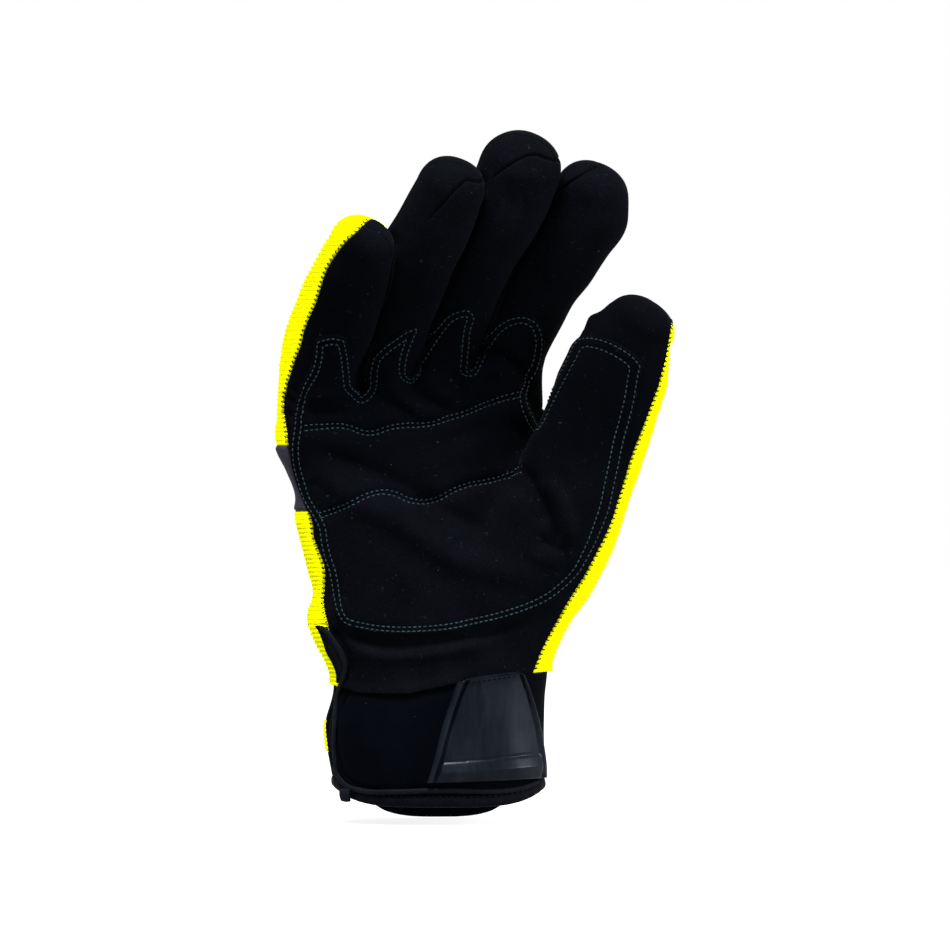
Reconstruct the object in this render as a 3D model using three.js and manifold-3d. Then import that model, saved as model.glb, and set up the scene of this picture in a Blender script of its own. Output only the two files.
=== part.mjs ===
// Puncture-resistant work glove, right hand, shaped as it is worn.
// Millimetres. +Z runs from the wrist to the fingertips, the palm faces -Y, the thumb is at +X.
// The origin is the centre of the wrist opening.

import * as THREE from "three";
import { mergeVertices } from "three/addons/utils/BufferGeometryUtils.js";
import Module from "manifold-3d";

// Driving dimensions
const WALL = 2.0; // lined suede or knit
const GAP = 0.3; // seam gap between neighbouring panels
const PATCH_THICKNESS = 1.3; // reinforcement suede over the palm
const BINDING_THICKNESS = 1.7;
const BINDING_WIDTH = 3.2;
const TAB_THICKNESS = 2.2; // moulded rubber body
const TAB_RIM_THICKNESS = 3.1;
const TAB_STEP_THICKNESS = 3.6;
const CUFF_TOP = 34.7; // seam between suede and neoprene
const BAND_LOW = 100; // knuckle band on the back
const BAND_HIGH = 124;
const HEM_HEIGHT = 5.5;
const HEM_TILT = -0.09; // the back of the hem hangs lower than the front
const HEM_MID = -6.2; // middle height of the hem band on the wrist's axis
const DIGIT_SIDES = 12;
const PALM_SIDES = 18;
const SECTION_POWER = 2.25; // superellipse exponent of every section
const TIP_STEPS = 2; // rings in a digit's round end
const SHOULDER_STEPS = 1; // rings in the palm's round upper end
const FAR = 90; // reach of a cutting solid

// Palm and cuff: one row per section. rise tilts a section up towards the thumb, turn swings its
// little-finger side towards the palm side.
const PALM_ROWS = [
  { z: -12, x: -0.5, wide: 38.2, deep: 26.0, rise: 0, turn: 0 },
  { z: 0, x: -0.6, wide: 38.9, deep: 26.5, rise: 0, turn: 0 },
  { z: 22, x: -2.1, wide: 39.9, deep: 26.3, rise: 0, turn: 0 },
  { z: 35, x: -0.4, wide: 39.0, deep: 25.5, rise: 0, turn: 0 },
  { z: 44, x: -0.4, wide: 40.9, deep: 25.0, rise: 0, turn: 0 },
  { z: 52.5, x: -1.6, wide: 44.0, deep: 24.5, rise: 0, turn: 0 },
  { z: 61, x: -2.0, wide: 45.8, deep: 24.0, rise: 0, turn: 0 },
  { z: 70, x: -1.3, wide: 45.1, deep: 23.5, rise: 0, turn: 0 },
  { z: 79, x: -3.1, wide: 45.4, deep: 22.5, rise: 0, turn: 0.02 },
  { z: 92, x: -5.8, wide: 45.3, deep: 21.0, rise: 0, turn: 0.05 },
  { z: 105, x: -8.0, wide: 44.5, deep: 20.0, rise: 0.02, turn: 0.08 },
  { z: 118, x: -10.7, wide: 45.0, deep: 19.0, rise: 0.06, turn: 0.1 },
  { z: 127, x: -12.2, wide: 47.2, deep: 18.0, rise: 0.1, turn: 0.12 },
  { z: 136, x: -12.2, wide: 47.6, deep: 15.8, rise: 0.14, turn: 0.12 },
  { z: 143, x: -11.3, wide: 46.5, deep: 13.5, rise: 0.18, turn: 0.12 },
];
const PALM_DOME = 6;

// Digits: centre line and half sizes of the section, root first. dome is the length of the round end.
const DIGITS = {
  little_finger: {
    dome: 11,
    rows: [
      { x: -45.0, y: -5, z: 130, wide: 14.0, deep: 12.0 },
      { x: -44.6, y: -7, z: 143.5, wide: 15.2, deep: 12.0 },
      { x: -42.8, y: -12, z: 158, wide: 15.2, deep: 12.0 },
      { x: -37.8, y: -19, z: 172.5, wide: 15.2, deep: 12.0 },
      { x: -32.8, y: -27, z: 185, wide: 14.0, deep: 11.5 },
      { x: -28.6, y: -34, z: 196, wide: 12.0, deep: 10.0 },
    ],
  },
  ring_finger: {
    dome: 13,
    rows: [
      { x: -21.0, y: -1.5, z: 137, wide: 12.0, deep: 12.0 },
      { x: -19.3, y: -5, z: 157, wide: 12.5, deep: 12.0 },
      { x: -16.4, y: -10, z: 170.5, wide: 13.5, deep: 12.0 },
      { x: -7.7, y: -22, z: 194, wide: 14.3, deep: 12.0 },
      { x: -2.0, y: -28, z: 206, wide: 14.2, deep: 11.5 },
      { x: 2.2, y: -32, z: 216, wide: 13.4, deep: 11.0 },
    ],
  },
  middle_finger: {
    dome: 15,
    rows: [
      { x: 0.2, y: 1.5, z: 137, wide: 12.5, deep: 12.0 },
      { x: 1.8, y: 0, z: 159, wide: 13.0, deep: 12.0 },
      { x: 4.7, y: -3, z: 171.5, wide: 13.5, deep: 12.0 },
      { x: 14.6, y: -12, z: 196.5, wide: 14.3, deep: 12.0 },
      { x: 22.3, y: -17, z: 209, wide: 14.6, deep: 12.0 },
      { x: 28.2, y: -21, z: 223, wide: 14.4, deep: 11.5 },
    ],
  },
  index_finger: {
    dome: 13,
    rows: [
      { x: 22.8, y: 4, z: 137, wide: 13.4, deep: 12.0 },
      { x: 25.2, y: 4, z: 159, wide: 13.8, deep: 12.0 },
      { x: 30.6, y: 2.5, z: 171.5, wide: 14.3, deep: 12.0 },
      { x: 36.7, y: 0, z: 183, wide: 14.4, deep: 12.0 },
      { x: 44.2, y: -3, z: 194, wide: 14.6, deep: 12.0 },
      { x: 51.9, y: -7, z: 206, wide: 14.4, deep: 11.8 },
      { x: 55.1, y: -10, z: 215, wide: 13.8, deep: 11.3 },
    ],
  },
  thumb: {
    dome: 11,
    rows: [
      { x: 16.0, y: -3, z: 53, wide: 22.0, deep: 17.0 },
      { x: 27.0, y: -6, z: 70.5, wide: 23.5, deep: 18.0 },
      { x: 40.0, y: -9, z: 89.5, wide: 23.0, deep: 17.5 },
      { x: 49.2, y: -12, z: 109.5, wide: 21.0, deep: 16.5 },
      { x: 57.2, y: -15, z: 129, wide: 19.6, deep: 15.0 },
      { x: 68.2, y: -21, z: 160, wide: 16.8, deep: 13.0 },
      { x: 71.0, y: -23, z: 167.5, wide: 14.6, deep: 12.0 },
    ],
  },
};

// Panels round a digit: name ending, first and last angle. 0 points to the thumb side, 90 to the back.
const DIGIT_PANELS = {
  little_finger: [
    ["palm_side", -145, -25],
    ["inner_wall", -25, 35],
    ["back", 35, 215],
  ],
  ring_finger: [
    ["palm_side", -150, -30],
    ["inner_wall", -30, 30],
    ["back", 30, 150],
    ["outer_wall", 150, 210],
  ],
  middle_finger: [
    ["palm_side", -150, -30],
    ["inner_wall", -30, 30],
    ["back", 30, 150],
    ["outer_wall", 150, 210],
  ],
  index_finger: [
    ["palm_side", -150, 0],
    ["back", 0, 150],
    ["outer_wall", 150, 210],
  ],
  thumb: [
    ["palm_side", -210, -31],
    ["back", -31, 149],
  ],
};
const WRAPPED_TIPS = ["ring_finger", "middle_finger", "index_finger"];

// Outline of the reinforcement patch in the palm plane: x, z pairs, from the wrist end round by the thumb.
const PATCH_OUTLINE = [
  [-29, 57.5], [-2, 56.5], [22, 61], [43, 71], [54, 89], [59, 110], [64, 130], [70, 150], [73, 152],
  [52, 162], [50, 158], [39, 135], [36, 130], [36, 131.5], [29, 143], [34, 147], [36, 160], [34, 167],
  [27, 170], [17, 161], [13.5, 154], [10.5, 156], [11.5, 171], [6, 172], [-3, 163], [-6.5, 154], [-11, 148],
  [-14, 149.5], [-13.5, 155], [-9, 166], [-23.5, 156], [-24.5, 148], [-29, 141.5], [-34, 145], [-35.5, 162],
  [-44, 161.5], [-49, 144], [-52, 130], [-49, 115], [-44, 102], [-42, 82], [-34.5, 61],
];

// Bound edge: down the slit on the little-finger side, then along the palm side's lower edge.
const BINDING_PATH = [
  [-43, 57.5], [-40, 54], [-36, 49], [-34, 44.5], [-34.8, 38.5], [-36.8, 33], [-37.6, 28], [-37.8, 9],
  [-34.8, 1.5], [-25.5, -1.6], [7.5, -1.3], [34, 1.2],
];

// Moulded closure tab in the palm plane.
const TAB_OUTLINE = [[-4.6, 1.0], [6.2, 37.6], [30.6, 40.6], [37.5, 9], [37.3, 3.6]];
const TAB_RIM_PATH = [[-4.4, 2.2], [0.4, 20], [6.0, 37.0], [8.5, 38.6], [30.4, 41.4]];
const TAB_RIM_WIDTH = 2.6;
const TAB_STEP_OUTLINE = [[-3.2, 1.2], [-1.2, 6.4], [37.4, 10.2], [37.3, 3.8]];

const COLOURS = {
  suede: { color: 0x16181b, roughness: 0.95, metalness: 0 },
  patch: { color: 0x1b1d21, roughness: 0.95, metalness: 0 },
  yellow: { color: 0xe6f000, roughness: 0.8, metalness: 0 },
  band: { color: 0x1c1923, roughness: 0.8, metalness: 0 },
  neoprene: { color: 0x10141c, roughness: 0.7, metalness: 0 },
  rubber: { color: 0x25292f, roughness: 0.4, metalness: 0 },
};

const wasm = await Module();
wasm.setup();

const glove = new THREE.Group();

// Solid from a plain closed geometry.
function solidOf(geometry) {
  const plain = geometry.clone();
  plain.deleteAttribute("normal");
  plain.deleteAttribute("uv");
  const merged = mergeVertices(plain, 1e-4);
  return new wasm.Manifold(
    new wasm.Mesh({
      numProp: 3,
      vertProperties: new Float32Array(merged.attributes.position.array),
      triVerts: new Uint32Array(merged.index.array),
    }),
  );
}

// Solid through rings of equally many points, each ring counter-clockwise seen from its far end, with
// a fan from the ring's middle, or from the given pole, closing each end. The diagonals of the last side
// mirror those of the first, so that two wedges with a side in common meet on the same facets.
function loft(rings, pole = null) {
  const sides = rings[0].length;
  const points = rings.flat();
  const faces = [];
  for (let ring = 0; ring + 1 < rings.length; ring += 1) {
    for (let side = 0; side < sides; side += 1) {
      const next = (side + 1) % sides;
      const a = ring * sides + side;
      const b = ring * sides + next;
      if (next === 0) faces.push(a, b, a + sides, b, b + sides, a + sides);
      else faces.push(a, b, b + sides, a, b + sides, a + sides);
    }
  }
  const middle = (ring) =>
    ring.reduce((sum, point) => sum.add(point), new THREE.Vector3()).divideScalar(sides);
  const start = points.push(middle(rings[0])) - 1;
  const end = points.push(pole ?? middle(rings.at(-1))) - 1;
  const last = (rings.length - 1) * sides;
  for (let side = 0; side < sides; side += 1) {
    const next = (side + 1) % sides;
    faces.push(start, next, side, end, last + side, last + next);
  }
  const geometry = new THREE.BufferGeometry().setFromPoints(points);
  geometry.setIndex(faces);
  return solidOf(geometry);
}

// Offset of the superellipse at an angle, as fractions of the half width and half depth.
function sectionPoint(angle) {
  const bend = (value) => Math.sign(value) * Math.abs(value) ** (2 / SECTION_POWER);
  return [bend(Math.cos(angle)), bend(Math.sin(angle))];
}

// Palm and cuff body, grown outwards by the given distance, or shrunk where it is negative.
function palmBody(grow) {
  const rows = PALM_ROWS.map((row) => ({ ...row }));
  const top = rows.at(-1);
  if (grow < 0) rows[0].z -= 2 * WALL;
  for (let step = 1; step <= SHOULDER_STEPS; step += 1) {
    const turn = (step / (SHOULDER_STEPS + 1)) * (Math.PI / 2);
    rows.push({
      ...top,
      z: top.z + (PALM_DOME + grow) * Math.sin(turn),
      wide: (top.wide - PALM_DOME) + PALM_DOME * Math.cos(turn),
      deep: (top.deep + grow) * Math.cos(turn) - grow,
    });
  }
  const rings = rows.map((row) =>
    Array.from({ length: PALM_SIDES }, (_, side) => {
      const [across, through] = sectionPoint((side / PALM_SIDES) * 2 * Math.PI);
      const offset = across * (row.wide + grow);
      return new THREE.Vector3(
        row.x + offset,
        through * (row.deep + grow) + row.turn * offset,
        row.z + row.rise * offset,
      );
    }),
  );
  return loft(rings);
}

// Stations along a digit: centre, the directions across, through and along it, and half sizes.
function stations(digit) {
  const curve = new THREE.CatmullRomCurve3(
    digit.rows.map((row) => new THREE.Vector3(row.x, row.y, row.z)),
    false,
    "centripetal",
  );
  return digit.rows.map((row, index) => {
    const t = index / (digit.rows.length - 1);
    const along = curve.getTangent(t).normalize();
    const across = new THREE.Vector3(0, 1, 0).cross(along).normalize();
    const through = along.clone().cross(across);
    return { centre: new THREE.Vector3(row.x, row.y, row.z), along, across, through, ...row };
  });
}

function ringAt(station, advance, offsets) {
  return offsets.map(([across, through]) =>
    station.centre
      .clone()
      .addScaledVector(station.along, advance)
      .addScaledVector(station.across, across)
      .addScaledVector(station.through, through),
  );
}

// Digit body with its round end, grown or shrunk by the given distance.
function digitBody(digit, grow) {
  const line = stations(digit);
  const section = (station, scale) =>
    Array.from({ length: DIGIT_SIDES }, (_, side) => {
      const [across, through] = sectionPoint((side / DIGIT_SIDES) * 2 * Math.PI);
      return [across * (station.wide + grow) * scale, through * (station.deep + grow) * scale];
    });
  const rings = line.map((station) => ringAt(station, 0, section(station, 1)));
  const tip = line.at(-1);
  const reach = digit.dome + grow;
  for (let step = 1; step <= TIP_STEPS; step += 1) {
    const turn = (step / (TIP_STEPS + 1)) * (Math.PI / 2);
    rings.push(ringAt(tip, reach * Math.sin(turn), section(tip, Math.cos(turn))));
  }
  return loft(rings, ringAt(tip, reach, [[0, 0]])[0]);
}

// Cutting wedge along a digit between two angles, kept half a gap off both its sides.
function digitWedge(digit, firstAngle, lastAngle, overTip) {
  const first = THREE.MathUtils.degToRad(firstAngle);
  const last = THREE.MathUtils.degToRad(lastAngle);
  const middle = (first + last) / 2;
  const inset = GAP / 2 / Math.sin(Math.min((last - first) / 2, Math.PI / 2));
  const reach = 27;
  const apex = [Math.cos(middle) * inset, Math.sin(middle) * inset];
  const rim = [first, middle, last].map((angle) => [
    apex[0] + Math.cos(angle) * reach,
    apex[1] + Math.sin(angle) * reach,
  ]);
  const outline = [apex, ...rim];
  const line = stations(digit);
  const rings = line.map((station) => ringAt(station, 0, outline));
  const tip = line.at(-1);
  const end = overTip ? digit.dome * 2 : -GAP / 2;
  rings.pop();
  rings.push(ringAt(tip, end, outline));
  return loft(rings);
}

// Everything past a digit's last station, where the wrapped tip starts.
function tipCutter(digit) {
  const tip = stations(digit).at(-1);
  const square = [[-FAR / 2, -FAR / 2], [FAR / 2, -FAR / 2], [FAR / 2, FAR / 2], [-FAR / 2, FAR / 2]];
  return loft([ringAt(tip, GAP / 2, square), ringAt(tip, digit.dome * 2, square)]);
}

// Prism through the whole hand over an outline in the palm plane, from yLow to yHigh.
function prism(outline, yLow, yHigh) {
  const shape = new THREE.Shape(outline.map(([x, z]) => new THREE.Vector2(x, z)));
  const geometry = new THREE.ExtrudeGeometry(shape, { depth: yHigh - yLow, bevelEnabled: false });
  geometry.rotateX(Math.PI / 2);
  geometry.translate(0, yHigh, 0);
  return solidOf(geometry);
}

function block(centre, size, tiltX = 0, turnZ = 0) {
  const geometry = new THREE.BoxGeometry(...size);
  geometry.rotateX(tiltX);
  geometry.rotateZ(turnZ);
  geometry.translate(...centre);
  return solidOf(geometry);
}

// Ribbon outline of the given width along a path in the palm plane.
function ribbon(path, width) {
  const points = path.map(([x, z]) => new THREE.Vector2(x, z));
  const sides = [[], []];
  points.forEach((point, index) => {
    const before = points[Math.max(index - 1, 0)];
    const after = points[Math.min(index + 1, points.length - 1)];
    const along = after.clone().sub(before).normalize();
    const left = new THREE.Vector2(-along.y, along.x).multiplyScalar(width / 2);
    sides[0].push([point.x + left.x, point.y + left.y]);
    sides[1].unshift([point.x - left.x, point.y - left.y]);
  });
  return [...sides[0], ...sides[1]];
}

// Adds the largest body of a solid as a named mesh.
function addPiece(name, solid, finish) {
  const bodies = solid.decompose();
  const body = bodies.reduce((best, next) => (next.volume() > best.volume() ? next : best));
  const mesh = body.getMesh();
  const geometry = new THREE.BufferGeometry();
  geometry.setAttribute("position", new THREE.BufferAttribute(new Float32Array(mesh.vertProperties), 3));
  geometry.setIndex(new THREE.BufferAttribute(new Uint32Array(mesh.triVerts), 1));
  const piece = new THREE.Mesh(geometry, new THREE.MeshStandardMaterial(COLOURS[finish]));
  piece.name = name;
  glove.add(piece);
}

// Bodies of the hand, each finger dented where its neighbour nearer the palm side presses on it.
const FINGER_ORDER = ["little_finger", "ring_finger", "middle_finger", "index_finger"];
const outerBodies = { thumb: digitBody(DIGITS.thumb, 0) };
const innerBodies = { thumb: digitBody(DIGITS.thumb, -WALL) };
FINGER_ORDER.forEach((name, index) => {
  let outer = digitBody(DIGITS[name], 0);
  let inner = digitBody(DIGITS[name], -WALL);
  if (index > 0) {
    const neighbour = DIGITS[FINGER_ORDER[index - 1]];
    outer = outer.subtract(digitBody(neighbour, GAP));
    inner = inner.subtract(digitBody(neighbour, GAP + WALL));
  }
  outerBodies[name] = outer;
  innerBodies[name] = inner;
});
let hollow = palmBody(-WALL);
for (const inner of Object.values(innerBodies)) hollow = hollow.add(inner);
const palmShell = palmBody(0).subtract(hollow);
const palmClearance = palmBody(GAP);

// Digits
for (const [name, digit] of Object.entries(DIGITS)) {
  const shell = outerBodies[name].subtract(hollow).subtract(palmClearance);
  const wrapped = WRAPPED_TIPS.includes(name);
  for (const [ending, first, last] of DIGIT_PANELS[name]) {
    const finish = ending === "back" ? "yellow" : "suede";
    addPiece(`${name}_${ending}`, shell.intersect(digitWedge(digit, first, last, !wrapped)), finish);
  }
  if (wrapped) addPiece(`${name}_tip_wrap`, shell.intersect(tipCutter(digit)), "suede");
}

// Palm panel and the three panels of the back
const SEAM_Y = -8; // seam between palm side and back
const SEAM_TURN = 0.06;
const HAND_MID = (CUFF_TOP + FAR * 2) / 2;
const handHeight = FAR * 2 - CUFF_TOP - GAP;
const frontHalf = block(
  [0, SEAM_Y - GAP / 2 - FAR / 2, HAND_MID + GAP / 2], [FAR * 2, FAR, handHeight], 0, SEAM_TURN,
);
const slab = (low, high) =>
  block([0, SEAM_Y + GAP / 2 + FAR / 2, (low + high) / 2], [FAR * 2, FAR, high - low - GAP], 0, SEAM_TURN);
addPiece("palm_panel", palmShell.intersect(frontHalf), "suede");
addPiece("back_lower_panel", palmShell.intersect(slab(CUFF_TOP, BAND_LOW)), "yellow");
addPiece("knuckle_band", palmShell.intersect(slab(BAND_LOW, BAND_HIGH)), "band");
addPiece("back_upper_panel", palmShell.intersect(slab(BAND_HIGH, FAR * 2)), "yellow");

// Reinforcement patch, laid on the palm, the finger bases and the thumb
function handSkin(grow) {
  let skin = palmBody(grow);
  for (const digit of Object.values(DIGITS)) skin = skin.add(digitBody(digit, grow));
  return skin;
}
const PATCH_BACK_LIMIT = -6;
const patchShell = handSkin(GAP + PATCH_THICKNESS).subtract(handSkin(GAP));
addPiece("reinforcement_patch", patchShell.intersect(prism(PATCH_OUTLINE, -FAR, PATCH_BACK_LIMIT)), "patch");

// Cuff
const HEM_CORNER_RISE = 6;
const HEM_LOWEST = -11.6;
const hemArc = [-42, -34, -24, 0, 24, 34, 42].map((x) => [x, HEM_LOWEST + HEM_CORNER_RISE * Math.abs(x / 42) ** 3]);
const hemProfile = prism([...hemArc, [42, FAR], [-42, FAR]], -FAR, FAR);
const cuffShell = palmBody(0).subtract(palmBody(-WALL)).intersect(hemProfile);
const tilt = Math.atan(HEM_TILT);
const hemSlab = block([0, 0, HEM_MID], [FAR * 2, FAR * 2, HEM_HEIGHT], tilt);
const aboveHem = block([0, 0, HEM_MID + HEM_HEIGHT / 2 + GAP + FAR / 2], [FAR * 2, FAR * 2, FAR], tilt);
const belowSeam = (y, turn) =>
  block([0, y, CUFF_TOP - GAP / 2 - FAR / 2], [FAR * 2, FAR, FAR], 0, turn).intersect(aboveHem);
const CUFF_SEAM_Y = -5;
addPiece("cuff_palm_side", cuffShell.intersect(belowSeam(CUFF_SEAM_Y - GAP / 2 - FAR / 2, 0)), "neoprene");
addPiece("cuff_back", cuffShell.intersect(belowSeam(CUFF_SEAM_Y + GAP / 2 + FAR / 2, 0)), "neoprene");
addPiece("cuff_hem", cuffShell.intersect(hemSlab), "neoprene");

const skinClearance = palmBody(GAP);
const layer = (thickness, outline) =>
  palmBody(GAP + thickness).subtract(skinClearance).intersect(prism(outline, -FAR, 0));
addPiece("cuff_binding", layer(BINDING_THICKNESS, ribbon(BINDING_PATH, BINDING_WIDTH)), "neoprene");
const tabBody = layer(TAB_THICKNESS, TAB_OUTLINE)
  .add(layer(TAB_RIM_THICKNESS, ribbon(TAB_RIM_PATH, TAB_RIM_WIDTH)))
  .add(layer(TAB_STEP_THICKNESS, TAB_STEP_OUTLINE));
addPiece("closure_tab", tabBody, "rubber");

// Pull tab hanging below the slit's lower corner
const PULL_TAB = { x: -35.6, y: -15.2, z: -4.5, wide: 6, high: 6.2, thick: 1.6, turn: -52 };
addPiece(
  "pull_tab",
  block(
    [PULL_TAB.x, PULL_TAB.y, PULL_TAB.z],
    [PULL_TAB.wide, PULL_TAB.thick, PULL_TAB.high],
    0,
    THREE.MathUtils.degToRad(PULL_TAB.turn),
  ),
  "neoprene",
);

export default glove;
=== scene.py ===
"""A right-hand puncture-resistant work glove in the shape it has when it is worn.

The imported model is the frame. Every visible piece is worked out here in millimetres, in the same axes (+Z to the
fingertips, +X to the thumb, the palm towards -Y), and goes to Blender in metres.

The hand is one distance field: the palm is a run of rounded sections, each digit a rounded tube along its centre line.
The skin of that field is cut along its seams into suede, knit and band, and each part gets a real thickness.
"""

from __future__ import annotations

import logging
import math
from collections.abc import Sequence
from dataclasses import dataclass, field
from enum import Enum

import bpy
import numpy as np
import openvdb
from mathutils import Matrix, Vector


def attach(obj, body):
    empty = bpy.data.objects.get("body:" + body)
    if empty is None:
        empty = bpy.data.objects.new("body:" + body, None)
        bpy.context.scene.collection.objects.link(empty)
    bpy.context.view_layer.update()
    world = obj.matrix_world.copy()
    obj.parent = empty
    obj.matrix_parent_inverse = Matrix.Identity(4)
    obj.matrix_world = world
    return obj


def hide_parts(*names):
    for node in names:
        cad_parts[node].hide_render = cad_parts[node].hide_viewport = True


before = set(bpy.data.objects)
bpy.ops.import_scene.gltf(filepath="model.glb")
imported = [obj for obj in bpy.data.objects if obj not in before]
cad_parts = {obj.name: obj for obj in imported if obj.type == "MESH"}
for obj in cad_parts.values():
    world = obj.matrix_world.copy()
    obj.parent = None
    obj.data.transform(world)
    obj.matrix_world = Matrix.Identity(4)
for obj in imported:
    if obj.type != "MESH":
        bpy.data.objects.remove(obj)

LOG = logging.getLogger("work_glove")
METRE = 0.001  # one millimetre
POWER = 2.25  # every section is a superellipse of this exponent
KNIT_PITCH = 1.6  # one rib of the yellow knit
Path = Sequence[tuple[float, float]]
Triple = tuple[float, float, float]
Material = bpy.types.Material
Socket = bpy.types.NodeSocket


# ---------------------------------------------------------------- curves and numbers


def through_rows(knots: np.ndarray, rows: np.ndarray, at: np.ndarray) -> np.ndarray:
    """Smooth values between table rows: cubics with the table's own slopes, held flat past its ends.

    Args:
        knots: Rising row positions, (K,).
        rows: Row values, (K, C).
        at: Positions to read, any shape.

    Returns:
        Values of shape at.shape + (C,).
    """
    slopes = np.gradient(rows, knots, axis=0)
    low = np.clip(np.searchsorted(knots, at, side="right") - 1, 0, len(knots) - 2)
    span = (knots[low + 1] - knots[low])[..., None]
    t = np.clip((at - knots[low])[..., None] / span, 0.0, 1.0)
    return (
        (1 + 2 * t) * (1 - t) ** 2 * rows[low]
        + t * (1 - t) ** 2 * span * slopes[low]
        + t**2 * (3 - 2 * t) * rows[low + 1]
        + t**2 * (t - 1) * span * slopes[low + 1]
    )


def unit(vectors: np.ndarray) -> np.ndarray:
    """Vectors divided by their lengths."""
    return vectors / np.maximum(np.linalg.norm(vectors, axis=-1, keepdims=True), 1e-9)


def bent(value: np.ndarray, power: float) -> np.ndarray:
    """Values raised to a power, with their signs kept."""
    return np.sign(value) * np.abs(value) ** power


def lengths_along(line: np.ndarray) -> np.ndarray:
    """How far along a line each of its points lies."""
    return np.concatenate([[0.0], np.cumsum(np.linalg.norm(np.diff(line, axis=0), axis=1))])


def read_at(line: np.ndarray, at: np.ndarray) -> np.ndarray:
    """Points of a line at given lengths along it."""
    along = lengths_along(line)
    return np.stack([np.interp(at, along, line[:, c]) for c in range(line.shape[1])], axis=1)


def left_of(line: np.ndarray) -> np.ndarray:
    """Unit vectors to the left of a flat line's direction."""
    along = unit(np.gradient(line, axis=0))
    return np.stack([-along[:, 1], along[:, 0]], axis=1)


def summed(index: np.ndarray, vectors: np.ndarray, count: int) -> np.ndarray:
    """For each number below count, the sum of the vectors that have it as their index."""
    return np.stack([np.bincount(index, vectors[:, c], count) for c in range(3)], axis=1)


def grid_index(rows: int, columns: int) -> np.ndarray:
    """Point numbers of a grid that is stored row by row."""
    return np.arange(rows * columns).reshape(rows, columns)


def ease(value: np.ndarray | float, low: float, high: float) -> np.ndarray:
    """0 below low, 1 above high and 3t^2 - 2t^3 between them."""
    t = np.clip((np.asarray(value, dtype=float) - low) / (high - low), 0.0, 1.0)
    return t * t * (3 - 2 * t)


def soft_min(a: np.ndarray, b: np.ndarray, reach: float) -> np.ndarray:
    """The smaller of two distances, rounded over where they differ by less than reach."""
    share = np.clip(0.5 + 0.5 * (b - a) / reach, 0.0, 1.0)
    return b * (1 - share) + a * share - reach * share * (1 - share)


def soft_max(a: np.ndarray, b: np.ndarray, reach: float) -> np.ndarray:
    """The larger of two distances, rounded in the same way."""
    return -soft_min(-a, -b, reach)


def smooth_path(points: Path, step: float) -> np.ndarray:
    """A smooth line through points, with a point about every step.

    A point given twice is a corner. Between two corners the line is the cubic through the points, walked by the length
    of their chords, and then read again at even lengths. A line whose last point is its first is closed.

    Args:
        points: Points (x, z) or (x, y, z).
        step: Spacing in millimetres.

    Returns:
        Points (N, 2 or 3); a closed line doesn't repeat its first point.
    """
    given = np.array(points, dtype=float)
    corners = np.nonzero((given[1:] == given[:-1]).all(axis=1))[0] + 1
    runs = []
    for run in np.split(given, corners):
        knots = lengths_along(run)
        fine = np.linspace(0.0, knots[-1], max(int(knots[-1] / step * 2), 3))
        runs.append(through_rows(knots, run, fine))
    line = np.vstack(runs)
    length = lengths_along(line)[-1]
    closed = bool((given[0] == given[-1]).all())
    return read_at(line, np.linspace(0.0, length, max(int(round(length / step)), 4), endpoint=not closed))


def resample(points: np.ndarray, pitch: float) -> np.ndarray:
    """The same line with a point at every pitch of its length."""
    return read_at(points, np.arange(0.5 * pitch, lengths_along(points)[-1], pitch))


def line_reach(places: np.ndarray, line: np.ndarray, closed: bool = False) -> tuple[np.ndarray, np.ndarray]:
    """Distance of each place to a line, and how far along the line (0 to 1) its nearest point lies.

    Every segment is tried in turn for all places at once: the foot of the perpendicular, held between its ends.

    Args:
        places: Points (N, 2).
        line: Line points (M, 2).
        closed: True joins the last point to the first.

    Returns:
        Distances (N,) and shares (N,).
    """
    ends = np.vstack([line[1:], line[:1]]) if closed else line[1:]
    best = np.full(len(places), np.inf)
    share = np.zeros(len(places))
    for index, (start, end) in enumerate(zip(line, ends)):
        run = end - start
        t = np.clip(((places - start) @ run) / max(float(run @ run), 1e-12), 0.0, 1.0)
        gap = np.hypot(places[:, 0] - start[0] - t * run[0], places[:, 1] - start[1] - t * run[1])
        nearer = gap < best
        best = np.where(nearer, gap, best)
        share = np.where(nearer, (index + t) / len(ends), share)
    return best, share


def inside_line(places: np.ndarray, line: np.ndarray) -> np.ndarray:
    """True where a place lies inside a closed line: a level ray from it crosses the line an odd number of times."""
    odd = np.zeros(len(places), dtype=bool)
    for (x0, z0), (x1, z1) in zip(line, np.vstack([line[1:], line[:1]])):
        spans = (z0 > places[:, 1]) != (z1 > places[:, 1])
        if z0 != z1:
            odd ^= spans & (places[:, 0] < (x1 - x0) * (places[:, 1] - z0) / (z1 - z0) + x0)
    return odd


def rounded_distance(parts: Sequence[tuple[np.ndarray, np.ndarray | float]]) -> np.ndarray:
    """Distance to a superellipse: its level less one, divided by how fast the level rises.

    Args:
        parts: Pairs of a coordinate divided by its half size, and the half size.

    Returns:
        Distance, negative inside.
    """
    total = sum(np.abs(share) ** POWER for share, _ in parts)
    level = np.maximum(total, 1e-6) ** (1 / POWER)
    rise = sum((np.abs(share) ** (POWER - 1) / half) ** 2 for share, half in parts)
    rise = np.sqrt(np.maximum(rise, 1e-9)) * level ** (1 - POWER)
    return (level - 1) / rise


# ---------------------------------------------------------------- the shape of the hand


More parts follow.
